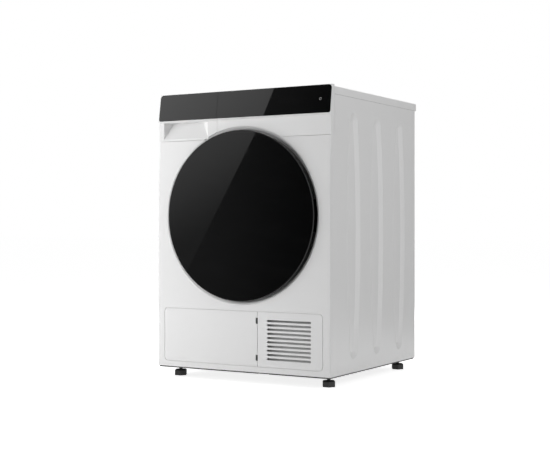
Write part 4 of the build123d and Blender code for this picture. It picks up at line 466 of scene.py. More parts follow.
def fin_stack():
    """Bright aluminium fins with a water mark here and there."""
    finish = Finish("fins", Metallic=1.0)
    mark = finish.ramp(finish.clouds(scale=30.0, detail=5.0), low=0.5, high=0.8)
    grain = finish.streaks(FIN_GRAIN, detail=2.0)
    tone = finish.mix(mark * MARK_COVER, FIN_BRIGHT, WATER_MARK)
    finish.dress(tone, 0.22 + 0.3 * mark, bump=grain, depth=0.00002)


fin_stack()

# %% Circuit board
QUARTER_TURN = math.pi / 2
UPRIGHT_BOARD = (QUARTER_TURN, 0.0, 0.0)
TRACK_LINES = {"Scale": 60.0, "Mortar Size": 0.035, "Brick Width": 0.9, "Row Height": 0.22}
TRACK_MASK = {"Color1": grey(0.0), "Color2": grey(0.0), "Mortar": grey(1.0)}
LACQUER_DARK = (0.012, 0.085, 0.035, 1.0)
LACQUER_PALE = (0.018, 0.12, 0.05, 1.0)
TRACK_GREEN = (0.10, 0.26, 0.09, 1.0)
TRACK_COVER = 0.7


def lacquered_board():
    """Green lacquer over copper tracks."""
    finish = Finish("board", IOR=1.5)
    upright = finish.node("ShaderNodeMapping", {}, {"Vector": finish.place, "Rotation": UPRIGHT_BOARD})
    brick = {"Vector": upright, **TRACK_LINES, **TRACK_MASK}
    tracks = finish.node("ShaderNodeTexBrick", {}, brick, out="Fac")
    lacquer = finish.clouds(scale=40.0, detail=3.0)
    green = finish.mix(lacquer, LACQUER_DARK, LACQUER_PALE)
    tone = finish.mix(tracks * TRACK_COVER, green, TRACK_GREEN)
    finish.dress(tone, 0.3 + 0.15 * lacquer, bump=tracks, depth=0.00004)


lacquered_board()

# %% [markdown]
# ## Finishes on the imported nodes
# The record names a material slot for each node, and the finishes above carry the slots' names. A few
# nodes have a finish of their own: the drum's back is polished in rings, the door's glass has its
# ground edge, the base is a paler plastic than the feet, and the hose has no ribs.

# %% Dress the nodes
OWN_FINISH = {
    "drum_back": "spun_steel",
    "door_glass": "ground_glass",
    "base_tray": "base_plastic",
    "drain_hose": "grey_rubber",
}
for part in frame["record"]["subparts"]:
    finish_name = OWN_FINISH.get(part["node"], part["material_slot"])
    frame["nodes"][part["node"]].material_slots[0].material = Finish.made[finish_name]

# %% [markdown]
# ## Trees that repeat
# Screws, gauze, dimples and fins are one small shape many times over. A loop could copy meshes, but a
# Geometry Nodes tree holds such a rule with named sizes, and stays short whatever the count. The
# result is turned into a plain mesh straight away, so that it can ride on its body like any other
# piece.

# %% Shapes as nodes
class Shapes(Graph):
    """Shapes and rows of points in a Geometry Nodes tree, one node each."""

    def point(self, x=0.0, y=0.0, z=0.0):
        """A vector of sizes."""
        return self.node("ShaderNodeCombineXYZ", {}, {"X": x, "Y": y, "Z": z})

    def block(self, size):
        """A block about the origin."""
        return self.node("GeometryNodeMeshCube", {}, {"Size": size})

    def rod(self, sides, radius, length):
        """An upright rod about the origin."""
        return self.node(
            "GeometryNodeMeshCylinder", {}, {"Vertices": sides, "Radius": radius, "Depth": length}
        )

    def cone(self, sides, foot_r, top_r, height, fill="NGON"):
        """An upright cut cone that stands on the origin."""
        return self.node(
            "GeometryNodeMeshCone",
            {"fill_type": fill},
            {"Vertices": sides, "Radius Top": top_r, "Radius Bottom": foot_r, "Depth": height},
        )

    def moved(self, shape, offset=(0, 0, 0), turn=(0, 0, 0)):
        """A shape turned and moved."""
        return self.node(
            "GeometryNodeTransform", {}, {"Geometry": shape, "Translation": offset, "Rotation": turn}
        )

    def joined(self, *shapes):
        """Several shapes as one."""
        return self.node("GeometryNodeJoinGeometry", {}, {"Geometry": list(shapes)})

    def row(self, count, start, step):
        """Points in a straight row."""
        return self.node(
            "GeometryNodeMeshLine",
            {"mode": "OFFSET"},
            {"Count": count, "Start Location": start, "Offset": step},
        )

    def repeated(self, points, shape, **more):
        """The shape at each point."""
        given = {"Points": points, "Instance": shape, **more}
        return self.node("GeometryNodeInstanceOnPoints", {}, given)


# %% A tree with named sizes
scene = bpy.context.scene


def placed(name, data):
    """A new object of the scene, at the origin."""
    made = bpy.data.objects.new(name, data)
    scene.collection.objects.link(made)
    return made


class Pattern(Shapes):
    """A Geometry Nodes tree: its sizes are named inputs, and grow() gives a plain mesh."""

    def __init__(self, name):
        super().__init__(bpy.data.node_groups.new(name, "GeometryNodeTree"))
        self.name = name
        self.tree.interface.new_socket("Geometry", in_out="OUTPUT", socket_type="NodeSocketGeometry")
        self.values = {}

    def size(self, name, value):
        """A named input of the tree and its value."""
        kind = "NodeSocketInt" if isinstance(value, int) else "NodeSocketFloat"
        socket = self.tree.interface.new_socket(name, in_out="INPUT", socket_type=kind)
        self.values[socket.identifier] = value
        return self.node("NodeGroupInput", out=name)

    def grow(self, shape, finish):
        """Ends the tree, runs it once and returns a plain mesh object of its result."""
        real = self.node("GeometryNodeRealizeInstances", {}, {"Geometry": shape})
        look = {"Geometry": real, "Material": Finish.made[finish]}
        self.node("NodeGroupOutput", {}, {"Geometry": self.node("GeometryNodeSetMaterial", {}, look)})
        piece = placed(self.name, bpy.data.meshes.new(self.name + "_start"))
        modifier = piece.modifiers.new("pattern", "NODES")
        modifier.node_group = self.tree
        for identifier, value in self.values.items():
            modifier[identifier] = value
        graph = bpy.context.evaluated_depsgraph_get()
        mesh = bpy.data.meshes.new_from_object(piece.evaluated_get(graph))
        piece.modifiers.remove(modifier)
        piece.data = mesh
        print(self.name, "faces", len(mesh.polygons))
        return piece


# %% [markdown]
# ## Screws of the rear panel
# Twelve pan-head screws hold the rear panel. A bump could draw the cross for the driver, but the
# exported mesh would lose it, so two thin blocks are taken out of a cut cone. Each screw stops at its
# own angle, as tightened screws do, from one fixed seed.

# %% One screw
HEAD_R = 0.0045
HEAD_TOP_SHARE = 0.72
HEAD_HEIGHT = 0.0022
HEAD_SIDES = 28
SHANK_R = 0.002
SHANK_SIDES = 16
CROSS_BAR = (0.0046, 0.0009, 0.0024)


def cross_head_screw(tree, shank):
    """One upright screw whose seat is at the origin."""
    head_r = tree.size("Head radius", HEAD_R)
    height = tree.size("Head height", HEAD_HEIGHT)
    shank_r = tree.size("Shank radius", SHANK_R)
    length = tree.size("Shank length", shank)
    head = tree.cone(HEAD_SIDES, head_r, head_r * HEAD_TOP_SHARE, height)
    bar = tree.block(CROSS_BAR)
    bars = [tree.moved(bar, tree.point(z=height), (0, 0, turn)) for turn in (0.0, QUARTER_TURN)]
    crossed = tree.node(
        "GeometryNodeMeshBoolean", {"operation": "DIFFERENCE"}, {"Mesh 1": head, "Mesh 2": bars}
    )
    stem = tree.moved(tree.rod(SHANK_SIDES, shank_r, length), tree.point(z=length * -0.5))
    return tree.joined(crossed, stem)


# %% Rows of screws
SCREW_ROWS = 6
SCREW_SEED = 7
RANDOM_FLOAT_OUT = 1


def rear_screws():
    """Two upright rows of cross-head screws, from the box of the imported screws."""
    low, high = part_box("rear_screws")
    tree = Pattern("rear_panel_screws")
    rows = tree.size("Rows", SCREW_ROWS)
    pitch = tree.size("Row pitch", (high.z - low.z - 2 * HEAD_R) / (SCREW_ROWS - 1))
    half_gap = tree.size("Half gap", high.x - HEAD_R)
    foot_z = tree.size("First row", low.z + HEAD_R)
    seat_y = tree.size("Seat", high.y - HEAD_HEIGHT)
    screw = tree.moved(cross_head_screw(tree, high.y - low.y - HEAD_HEIGHT), turn=(-QUARTER_TURN, 0, 0))
    lowest = [tree.point(half_gap * side, seat_y, foot_z) for side in (-1, 1)]
    columns = [tree.row(rows, spot, tree.point(z=pitch)) for spot in lowest]
    angle = tree.node(
        "FunctionNodeRandomValue",
        {"data_type": "FLOAT"},
        {"Max": math.pi, "Seed": SCREW_SEED},
        out=RANDOM_FLOAT_OUT,
    )
    screws = tree.repeated(tree.joined(*columns), screw, Rotation=tree.point(y=angle))
    return tree.grow(screws, "bare_steel")


screws = rear_screws()
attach(screws, "cabinet")
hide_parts("rear_screws")

# %% [markdown]
# ## Gauze of the lint filter
# The filter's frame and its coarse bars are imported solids. The gauze that really stops the lint is
# much finer: thin threads in two directions, one layer over the other. A see-through texture could
# stand for it, but the exported mesh would then be a plain sheet, so two rows of threads make it.

# %% Gauze
THREAD_R = 0.00018
THREAD_SIDES = 5
THREAD_PITCH = 0.0028
FILTER_FRAME = 0.009
FILTER_HEAD = 0.027
GAUZE_BEHIND_BARS = 0.0014
LAID_ALONG_X = (0, QUARTER_TURN, 0)


def filter_gauze():
    """Threads across and up the window of the filter's frame."""
    low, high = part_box("lint_filter")
    window_low = low.z + FILTER_FRAME
    tree = Pattern("filter_gauze")
    thread_r = tree.size("Thread radius", THREAD_R)
    pitch = tree.size("Thread pitch", THREAD_PITCH)
    width = tree.size("Window width", high.x - low.x - 2 * FILTER_FRAME)
    height = tree.size("Window height", high.z - FILTER_HEAD - window_low)
    layer_y = tree.size("Layer", (low.y + high.y) / 2 + GAUZE_BEHIND_BARS)
    foot_z = tree.size("Window foot", window_low)
    weft = tree.moved(tree.rod(THREAD_SIDES, thread_r, width), turn=LAID_ALONG_X)
    weft_start = tree.point(0.0, layer_y, foot_z + pitch / 2)
    weft_row = tree.row(height / pitch, weft_start, tree.point(z=pitch))
    warp = tree.rod(THREAD_SIDES, thread_r, height)
    warp_start = tree.point((width - pitch) * -0.5, layer_y + thread_r * 2, foot_z + height * 0.5)
    warp_row = tree.row(width / pitch, warp_start, tree.point(x=pitch))
    threads = tree.joined(tree.repeated(weft_row, weft), tree.repeated(warp_row, warp))
    return tree.grow(threads, "grey_plastic")


gauze = filter_gauze()
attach(gauze, "filter")

# %% [markdown]
# ## Dimples in the drum
# Dryer drums are pressed with shallow dimples that keep wet cloth from sticking. They stand in
# staggered rings on the inside of the shell. A bump pattern would be lighter, but the exported drum
# would be smooth. So a tree bends a flat grid of points round the axis, shifts every second ring by
# half a step, leaves out the points under the three lifters, and sets a low cone on each point, facing
# the axis.

# %% Dimples
DRUM_LOW, DRUM_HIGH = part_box("drum_shell")
DIMPLE_R = 0.0055
DIMPLE_TOP_SHARE = 0.45
DIMPLE_HEIGHT = 0.0011
DIMPLE_SIDES = 10
RING_COUNT = 15
DIMPLES_IN_RING = 84
STAGGER = 0.5
DRUM_SHEET = 0.0008
RING_MARGIN = 0.024
LIFTER_COUNT = 3
LIFTER_START = math.radians(30)
LIFTER_HALF = math.radians(10)


def drum_dimples():
    """Rings of low cones on the inside of the drum's shell."""
    tree = Pattern("drum_dimples")
    radius = tree.size("Shell radius", DRUM_HIGH.x - DRUM_SHEET)
    dimple_r = tree.size("Dimple radius", DIMPLE_R)
    height = tree.size("Dimple height", DIMPLE_HEIGHT)
    rings = tree.size("Rings", RING_COUNT)
    around = tree.size("In a ring", DIMPLES_IN_RING)
    front = tree.size("First ring", DRUM_LOW.y + RING_MARGIN)
    length = tree.size("Length", DRUM_HIGH.y - DRUM_LOW.y - 2 * RING_MARGIN)
    axis_z = tree.size("Axis height", AXIS_Z)
    spot = tree.node("GeometryNodeInputIndex")
    ring = (spot / around).math("FLOOR")
    angle = (spot % around + (ring % 2) * STAGGER) * math.tau / around
    cosine = angle.math("COSINE")
    sine = angle.math("SINE")
    place = tree.point(radius * cosine, front + length * ring / (rings - 1), radius * sine + axis_z)
    points = tree.node("GeometryNodePoints", {}, {"Count": rings * around, "Position": place})
    third = math.tau / LIFTER_COUNT
    from_lifter = abs((angle - LIFTER_START + third / 2) % third - third / 2)
    inwards = tree.point(-cosine, 0.0, -sine)
    facing = tree.node("FunctionNodeAlignRotationToVector", {"axis": "Z"}, {"Vector": inwards})
    cone = tree.cone(DIMPLE_SIDES, dimple_r, dimple_r * DIMPLE_TOP_SHARE, height, fill="TRIANGLE_FAN")
    dimples = tree.repeated(points, cone, Selection=from_lifter > LIFTER_HALF, Rotation=facing)
    return tree.grow(dimples, "drum_steel")


dimples = drum_dimples()
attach(dimples, "drum")

# %% [markdown]
# ## Fins of the heat exchangers
# Behind the service flap sit the evaporator and the condenser. Real fins are hair-thin sheets two or
# three millimetres apart on rows of tubes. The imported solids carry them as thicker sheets, so a tree
# puts the real count in the same two boxes, and adds the tubes through them.

# %% Fins and tubes
FIN_PITCH = 0.0028
FIN_SHEET = 0.0003
TUBE_R = 0.004
TUBE_SIDES = 12
TUBE_COLUMNS = 3
TUBE_ROWS = 4
STACK_DEPTH = 0.085
FIN_FOOT_Z = 0.040
FOOT_WIDTH = 0.012
FOOT_INSET = 0.018


def heat_exchangers():
    """Two stacks of upright fins on tubes."""
    low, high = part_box("heat_exchangers")
    tree = Pattern("exchanger_fins")
    pitch = tree.size("Fin pitch", FIN_PITCH)
    sheet = tree.size("Fin sheet", FIN_SHEET)
    tube_r = tree.size("Tube radius", TUBE_R)
    width = tree.size("Width", high.x - low.x)
    depth = tree.size("Stack depth", STACK_DEPTH)
    fin_z = tree.size("Fin foot", FIN_FOOT_Z)
    fin_height = tree.size("Fin height", high.z - FIN_FOOT_Z)
    foot_rise = FIN_FOOT_Z - low.z
    fin = tree.block(tree.point(sheet, depth, fin_height))
    tube = tree.moved(tree.rod(TUBE_SIDES, tube_r, width), turn=LAID_ALONG_X)
    tube_step = tree.point(z=fin_height / TUBE_ROWS)
    foot = tree.block((FOOT_WIDTH, STACK_DEPTH, foot_rise))
    stacks = []
    for middle_y in (low.y + STACK_DEPTH / 2, high.y - STACK_DEPTH / 2):
        first_fin = tree.point(low.x + FIN_PITCH, middle_y, fin_z + fin_height * 0.5)
        stacks.append(tree.repeated(tree.row(width / pitch - 1, first_fin, tree.point(x=pitch)), fin))
        for column in range(TUBE_COLUMNS):
            tube_y = middle_y + STACK_DEPTH * ((column + 0.5) / TUBE_COLUMNS - 0.5)
            lowest = tree.point((low.x + high.x) / 2, tube_y, fin_z + fin_height * (0.5 / TUBE_ROWS))
            stacks.append(tree.repeated(tree.row(TUBE_ROWS, lowest, tube_step), tube))
        for foot_x in (low.x + FOOT_INSET, high.x - FOOT_INSET):
            stacks.append(tree.moved(foot, (foot_x, middle_y, low.z + foot_rise / 2)))
    return tree.grow(tree.joined(*stacks), "fins")


fins = heat_exchangers()
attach(fins, "cabinet")
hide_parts("heat_exchangers")

# %% [markdown]
# ## Louvres behind the air grille
# Through the ten slots of the grille one sees pale blades, not the fan: they lean back, so that air
# gets in and splashes don't. The blades repeat at the pitch of the slots, so a short tree makes them.

# %% Louvres
FRONT_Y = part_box("front_panel")[0].y
SLOT_COUNT = 10
SLOT_TOP_Z = 0.187
SLOT_PITCH = 0.01233
SLOT_MIDDLE_X = 0.164
BLADE_LENGTH = 0.154
BLADE_WIDTH = 0.0145
BLADE_SHEET = 0.0012
BLADE_LEAN = math.radians(32)
BLADE_BEHIND = 0.017


def grille_louvres():
    """A ladder of leaning blades behind the slots."""
    tree = Pattern("grille_louvres")
    length = tree.size("Blade length", BLADE_LENGTH)
    width = tree.size("Blade width", BLADE_WIDTH)
    sheet = tree.size("Blade sheet", BLADE_SHEET)
    lean = tree.size("Lean", BLADE_LEAN)
    count = tree.size("Blades", SLOT_COUNT)
    pitch = tree.size("Pitch", SLOT_PITCH)
    behind = tree.size("Behind the front", BLADE_BEHIND)
    blade = tree.moved(tree.block(tree.point(length, sheet, width)), turn=tree.point(x=-lean))
    start = tree.point(SLOT_MIDDLE_X, behind + FRONT_Y, SLOT_TOP_Z)
    blades = tree.repeated(tree.row(count, start, tree.point(z=-pitch)), blade)
    post = tree.block(tree.point(sheet * 2, width, count * pitch))
    middle_z = SLOT_TOP_Z - SLOT_PITCH * (SLOT_COUNT - 1) / 2
    posts = [
        tree.moved(post, (SLOT_MIDDLE_X + side * BLADE_LENGTH / 2, FRONT_Y + BLADE_BEHIND, middle_z))
        for side in (-1, 1)
    ]
    return tree.grow(tree.joined(blades, *posts), "louvre_plastic")


louvres = grille_louvres()
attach(louvres, "cabinet")

# %% [markdown]
# ## Painted shadow line under the worktop
# The worktop meets each side panel in a half-millimetre joint, which shows as a clear dark line. The
# joint is too narrow to throw that shade itself, so a near-black strip set in it paints the shadow
# line. The two strips are one bar, set down twice.

# %% Painted shadow strips
SHADOW_STRIP_WIDTH = 0.0013
SHADOW_STRIP_HEIGHT = 0.00046
SHADOW_STRIP_SUNK = 0.00015
SHADOW_STRIP_MARGIN = 0.001


def painted_shadow_skin():
    """Painted shadow: a near-black finish with a cell pattern in tone, gloss and relief."""
    finish = Finish("joint_foam", IOR=1.4)
    strip_cells = finish.cells(scale=2500.0)
    # The near-black tone is painted shade: it stands in for the shadow inside the joint.
    tone = finish.mix(strip_cells, grey(0.012), grey(0.035))
    finish.dress(tone, 0.8 + 0.15 * strip_cells, bump=strip_cells, depth=0.0002)


def worktop_foam():
    """Two thin near-black strips in the joint between the worktop and the side panels, painting its
    shadow line.
    """
    worktop_low, worktop_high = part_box("worktop")
    side_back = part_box("side_panel_right")[1].y
    tree = Pattern("worktop_foam")
    width = tree.size("Width", SHADOW_STRIP_WIDTH)
    height = tree.size("Height", SHADOW_STRIP_HEIGHT)
    length = tree.size("Length", side_back - worktop_low.y - 2 * SHADOW_STRIP_MARGIN)
    half_gap = tree.size("Half gap", worktop_high.x - SHADOW_STRIP_SUNK - SHADOW_STRIP_WIDTH / 2)
    bar = tree.block(tree.point(width, length, height))
    middle_y = (side_back + worktop_low.y) / 2
    start = tree.point(-half_gap, middle_y, worktop_low.z + SHADOW_STRIP_HEIGHT / 2)
    return tree.grow(tree.repeated(tree.row(2, start, tree.point(x=half_gap * 2)), bar), "joint_foam")


# Near-black strips that paint the shadow line of the worktop's joint.
painted_shadow_skin()
shadow_strips = worktop_foam()
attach(shadow_strips, "cabinet")

# %% [markdown]
# ## Turned pieces
# The felt rings, the door seal and the flare of the door recess are all turned about the drum's axis.
# A Screw modifier could turn a profile too, but here single rings are bent or roughened afterwards.
# So each piece is a closed profile set down once for every step of the turn, and one helper joins the
# rings into a skin.

# %% Rings into skins
STEPS = 180
SHARP_EDGE = math.radians(60)


def angles(steps):
    """One turn in equal steps."""
    return [math.tau * step / steps for step in range(steps)]


def round_axis(radius, y, angle):
    """A point at a radius from the drum's axis."""
    return Vector((radius * math.cos(angle), y, AXIS_Z + radius * math.sin(angle)))


def turned(profile):
    """Rings of points: a closed profile of (radius, y) set down all round the drum's axis."""
    return [[round_axis(radius, y, angle) for radius, y in profile] for angle in angles(STEPS)]


def skinned(name, sets, finish, smooth=True):
    """A piece from sets of closed rings, each ring joined to the next and the last to the first."""
    mesh = bmesh.new()
    for rings in sets:
        rows = [[mesh.verts.new(point) for point in ring] for ring in rings]
        for here, there in zip(rows, rows[1:] + rows[:1]):
            for corner in range(len(here)):
                after = (corner + 1) % len(here)
                mesh.faces.new((here[corner], here[after], there[after], there[corner]))
    bmesh.ops.recalc_face_normals(mesh, faces=mesh.faces)
    data = bpy.data.meshes.new(name)
    mesh.to_mesh(data)
    mesh.free()
    data.materials.append(Finish.made[finish])
    data.polygons.foreach_set("use_smooth", [smooth] * len(data.polygons))
    data.set_sharp_from_angle(angle=SHARP_EDGE)
    print(name, "faces", len(data.polygons))
    return placed(name, data)


# %% [markdown]
# ## Felt of the drum
# Two felt rings close the gap between the turning drum and the fixed ducts. Felt isn't a machined
# ring: its faces are crowned and its surface is uneven. The profile is a rounded oblong, and every
# point is pushed a little by a fixed noise, so both rings keep the space that their solids hold.

# %% Felt rings
FELT_LOW, FELT_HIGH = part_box("drum_felts")
FELT_UNEVEN = 0.0002
FELT_GRAIN = 90.0
FELT_CORNERS = 8
FELT_SQUARE = 0.4
FELT_SEED = 5
REAR_FELT_THICK = 0.006
REAR_FELT_LENGTH = 0.0057
FRONT_FELT_R = 0.2497
FRONT_FELT_THICK = 0.0034
FRONT_FELT_LENGTH = 0.0114


def squared(value):
    """A sine or cosine pushed outwards, so that a circle becomes a rounded oblong."""
    return math.copysign(abs(value) ** FELT_SQUARE, value)


def felt_ring(outer_r, thick, y_low, length):
    """Rings of a crowned, uneven felt."""
    laps = [math.tau * (corner + 0.5) / FELT_CORNERS for corner in range(FELT_CORNERS)]
    half_thick = thick / 2 - FELT_UNEVEN
    half_length = length / 2 - FELT_UNEVEN
    profile = [
        (outer_r - thick / 2 + squared(math.cos(lap)) * half_thick,
         y_low + length / 2 + squared(math.sin(lap)) * half_length)
        for lap in laps
    ]
    return [
        [point + noise.noise_vector(point * FELT_GRAIN) * FELT_UNEVEN / 2 for point in ring]
        for ring in turned(profile)
    ]


noise.seed_set(FELT_SEED)
front_felt = felt_ring(FRONT_FELT_R, FRONT_FELT_THICK, FELT_LOW.y, FRONT_FELT_LENGTH)
rear_felt = felt_ring(FELT_HIGH.x, REAR_FELT_THICK, FELT_HIGH.y - REAR_FELT_LENGTH, REAR_FELT_LENGTH)
felts = skinned("felt_rings", [front_felt, rear_felt], "felt")
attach(felts, "cabinet")
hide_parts("drum_felts")

# %% [markdown]
# ## Door seal
# The seal is an extruded rubber with a flat foot and two soft lips, bent into a ring and pressed into
# the door's rim. Its profile is drawn in millimetres from the inner edge of the foot, and turned.

# %% Seal
MM = 0.001
SEAL_PROFILE = (
    (0.2, 0.0), (11.8, 0.0), (11.8, 1.0), (8.6, 1.3), (9.6, 3.0), (8.6, 3.6),
    (6.4, 2.2), (4.6, 2.3), (2.6, 3.5), (1.2, 3.3), (1.8, 1.4), (0.2, 1.0),
)
SEAL_INNER_R = 0.203
SEAL_FOOT_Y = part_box("door_seal")[0].y
seal_outline = [(SEAL_INNER_R + across * MM, SEAL_FOOT_Y + rise * MM) for across, rise in SEAL_PROFILE]
seal = skinned("lipped_seal", [turned(seal_outline)], "grey_rubber")
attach(seal, "door")
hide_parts("door_seal")

# %% [markdown]
# ## Flare of the door recess
# The sheet doesn't drop square into the round recess: a pressed flare leads from the front face
# inwards, and it takes the soft shade that rings the door. Its mouth follows the front, which is set
# back above the bend, so each ring of the skin is moved by the set-back at its height.

# %% Flare
RECESS_R = 0.26305
FLARE_REACH = 0.0095
FLARE_DEPTH = 0.0085
FLARE_STEPS = ((0.0, 0.0), (0.4, 0.24), (0.75, 0.6), (1.0, 1.0))
FLARE_BACK = 0.0232
MOUTH_SINK = 0.00015
SET_BACK = 0.0066
BEND_LOW = 0.591
BEND_HIGH = 0.706


def set_back(z):
    """How far the front face lies behind its lower plane at a height."""
    share = min(max((z - BEND_LOW) / (BEND_HIGH - BEND_LOW), 0.0), 1.0)
    bent = 2 * share**2 if share < 0.5 else 1 - 2 * (1 - share) ** 2
    return SET_BACK * bent


def recess_flare():
    """Rings of the flare, which steepens inwards and ends in a straight wall to the recess floor."""
    rings = []
    for angle in angles(STEPS):
        sunk = set_back(AXIS_Z + RECESS_R * math.sin(angle)) + MOUTH_SINK
        profile = [
            (RECESS_R - FLARE_REACH * inward, sunk + FLARE_DEPTH * deep) for inward, deep in FLARE_STEPS
        ]
        profile += [(RECESS_R - FLARE_REACH, FLARE_BACK), (RECESS_R, FLARE_BACK)]
        rings.append([round_axis(radius, FRONT_Y + depth, angle) for radius, depth in profile])
    return rings


flare = skinned("recess_flare", [recess_flare()], "white_enamel")
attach(flare, "cabinet")

# %% [markdown]
# ## The touch key
# At the right end of the fascia a thin pale ring marks the touch key. It is print on the glass, so it
# is a flat washer a tenth of a millimetre proud. A ray from the front finds the leaning glass, and
# its normal turns the ring.

# %% Touch key
KEY_X = 0.2634
KEY_Z = 0.8245
KEY_OUTER_R = 0.0036
KEY_INNER_R = 0.00315
KEY_PROUD = 0.0001
KEY_STEPS = 64
BACKWARDS = Vector((0, 1, 0))
RAY_START = 1.0


def struck(node, start, way):
    """Where a ray meets a node's surface, and the normal there."""
    return frame["nodes"][node].ray_cast(start, way)[1:3]


def touch_key():
    """Rings of a flat washer on the control glass."""
    point, normal = struck("control_glass", Vector((KEY_X, cad_box[0].y - RAY_START, KEY_Z)), BACKWARDS)
    print("key on the glass", [round(value, 4) for value in point])
    seat = Matrix.Translation(point) @ normal.to_track_quat("Z", "Y").to_matrix().to_4x4()
    inner, outer = KEY_INNER_R, KEY_OUTER_R
    profile = ((inner, 0.0), (outer, 0.0), (outer, KEY_PROUD), (inner, KEY_PROUD))
    return [
        [seat @ Vector((r * math.cos(angle), r * math.sin(angle), rise)) for r, rise in profile]
        for angle in angles(KEY_STEPS)
    ]


def key_print():
    """Pale print that is a little worn."""
    finish = Finish("key_print", IOR=1.45)
    worn = finish.clouds(scale=900.0, detail=3.0)
    finish.dress(finish.mix(worn, grey(0.80), grey(0.88)), 0.35 + 0.15 * worn)


key_print()
key = skinned("touch_key", [touch_key()], "key_print", smooth=False)
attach(key, "cabinet")

# %% [markdown]
# ## The camera
# The photograph was taken level with the machine's middle, about 30 degrees round to the right of its
# front. These numbers come from the cabinet's own upright and level edges: their slopes give the turn
# and the distance, and their lengths the lens.

# %% Camera
IMAGE_WIDTH = 550
IMAGE_HEIGHT = 450
FOCAL_PIXELS = 1147.8
SENSOR = 36.0
CAMERA_PLACE = Vector((1.806, -3.15775, 0.466))
CAMERA_YAW = math.radians(30.52)
camera_data = bpy.data.cameras.new("camera")
camera_data.sensor_fit = "HORIZONTAL"
camera_data.sensor_width = SENSOR
camera_data.lens = FOCAL_PIXELS * SENSOR / IMAGE_WIDTH
camera = placed("camera", camera_data)
camera.location = CAMERA_PLACE
camera.rotation_euler = (QUARTER_TURN, 0.0, CAMERA_YAW)
bpy.context.scene.camera = camera
print("lens", round(camera_data.lens, 2))

# %% [markdown]
# ## Floor and background
# The background is white and the floor keeps only a soft shadow. To the camera, to glossy rays and to
# rays through glass the world is plain white; to everything else it is a weaker grey, which is the
# fill light on the machine. The floor does the same: it is pale and matt for the light that bounces,
# and adds white for the rays that look at it.

# %% World
FILL_LIGHT = 0.28
scene.view_settings.view_transform = "Standard"


def backdrop(graph, lighting, seen):
    """One shader for bounced light, another for rays that look: by eye, mirrored or through glass."""
    eye = graph.node("ShaderNodeLightPath", out="Is Camera Ray")
    gloss = graph.node("ShaderNodeLightPath", out="Is Glossy Ray")
    through = graph.node("ShaderNodeLightPath", out="Is Transmission Ray")
    looks = eye.math("MAXIMUM", gloss).math("MAXIMUM", through)
    return graph.node("ShaderNodeMixShader", {}, {"Fac": looks, 1: lighting, 2: seen})


def studio_world():
    """White where it is looked at, a weaker white as fill light."""
    scene.world = bpy.data.worlds.new("studio")
    scene.world.use_nodes = True
    sky = Graph(scene.world.node_tree)
    fill = sky.node("ShaderNodeBackground", {}, {"Color": grey(1.0), "Strength": FILL_LIGHT})
    white = sky.node("ShaderNodeBackground", {}, {"Color": grey(1.0), "Strength": 1.0})
    sky.plug(sky.tree.nodes["World Output"].inputs["Surface"], backdrop(sky, fill, white))


studio_world()
print("fill light", FILL_LIGHT)

# %% Floor
FLOOR_HALF = 30.0
FLOOR_Z = -0.0002
FLOOR_WHITE = 0.82
SQUARE = ((-1, -1), (1, -1), (1, 1), (-1, 1))
FLOOR_CORNERS = [(x * FLOOR_HALF, y * FLOOR_HALF, FLOOR_Z) for x, y in SQUARE]


def stage_sheet(name, corners, material):
    """A flat sheet that isn't part of the machine."""
    data = bpy.data.meshes.new(name)
    data.from_pydata(corners, [], [tuple(range(len(corners)))])
    data.materials.append(material)
    sheet = placed(name, data)
    print(name, [tuple(round(value, 3) for value in corner) for corner in corners])
    return sheet


def floor_paper():
    """Matt pale paper that is lifted to white where it is looked at."""
    finish = Finish("floor_paper", Specular_IOR_Level=0.0)
    fibre = finish.clouds(scale=3.0)
    finish.dress(finish.mix(fibre, grey(0.62), grey(0.64)), 1.0)
    matt = Wire(finish, finish.shader.outputs["BSDF"])
    glow = finish.node("ShaderNodeEmission", {}, {"Color": grey(1.0), "Strength": FLOOR_WHITE})
    lifted = finish.node("ShaderNodeAddShader", {}, {0: matt, 1: glow})
    return finish.ended_in(backdrop(finish, matt, lifted))


stage_sheet("floor", FLOOR_CORNERS, floor_paper())

# %% [markdown]
# ## What the glass sees
# Black glass shows only what it faces. In the photograph a pale panel with a slanted edge stands to
# the left of the camera, and beyond the edge the studio is dark. Each edge is found by following the
# line of sight through two points of the picture to the glass, and from there, mirrored, to the
# panels' plane.

# %% Lines of sight
PANEL_Y = -2.3
FORWARD = Vector((-math.sin(CAMERA_YAW), math.cos(CAMERA_YAW), 0))
RIGHT = Vector((math.cos(CAMERA_YAW), math.sin(CAMERA_YAW), 0))
UP = Vector((0, 0, 1))
DOOR_SPOTS = ((255.3, 133), (191.5, 262))
FASCIA_SPOTS = ((272.6, 92), (263.8, 114))


def mirrored_point(node, across, down):
    """Where the line of sight through a picture point meets the panels' plane, off the node's glass."""
    sight = FORWARD + RIGHT * ((across - IMAGE_WIDTH / 2) / FOCAL_PIXELS)
    sight += UP * ((IMAGE_HEIGHT / 2 - down) / FOCAL_PIXELS)
    point, normal = struck(node, CAMERA_PLACE, sight.normalized())
    mirrored = sight.reflect(normal)
    return point + mirrored * ((PANEL_Y - point.y) / mirrored.y)


DOOR_EDGE = [mirrored_point("door_glass", *spot) for spot in DOOR_SPOTS]
FASCIA_EDGE = [mirrored_point("control_glass", *spot) for spot in FASCIA_SPOTS]
print("door edge", DOOR_EDGE, "fascia edge", FASCIA_EDGE)

# %% [markdown]
# ## Panels for the reflections
# A real panel glows unevenly, and the glass shows that as a slow change of tone. Each sheet therefore
# fades between two levels along a direction of its own. An emission shader on a flat sheet is enough,
# because the sheets are seen by glossy rays alone and light nothing.

# %% Glowing sheets
PANEL_WIDTH = 3.0


def glowing(name, way, start, end, first, last):
    """A glow between two levels, from one place to another along a direction."""
    finish = Finish(name)
    peak = max(first, last)
    reach = finish.node(
        "ShaderNodeVectorMath", {"operation": "DOT_PRODUCT"}, {0: finish.place, 1: way}, out="Value"
    )
    change = finish.ramp(reach, start, end)
    colour = finish.mix(change, grey(first / peak), grey(last / peak))
    return finish.ended_in(finish.node("ShaderNodeEmission", {}, {"Color": colour, "Strength": peak}))


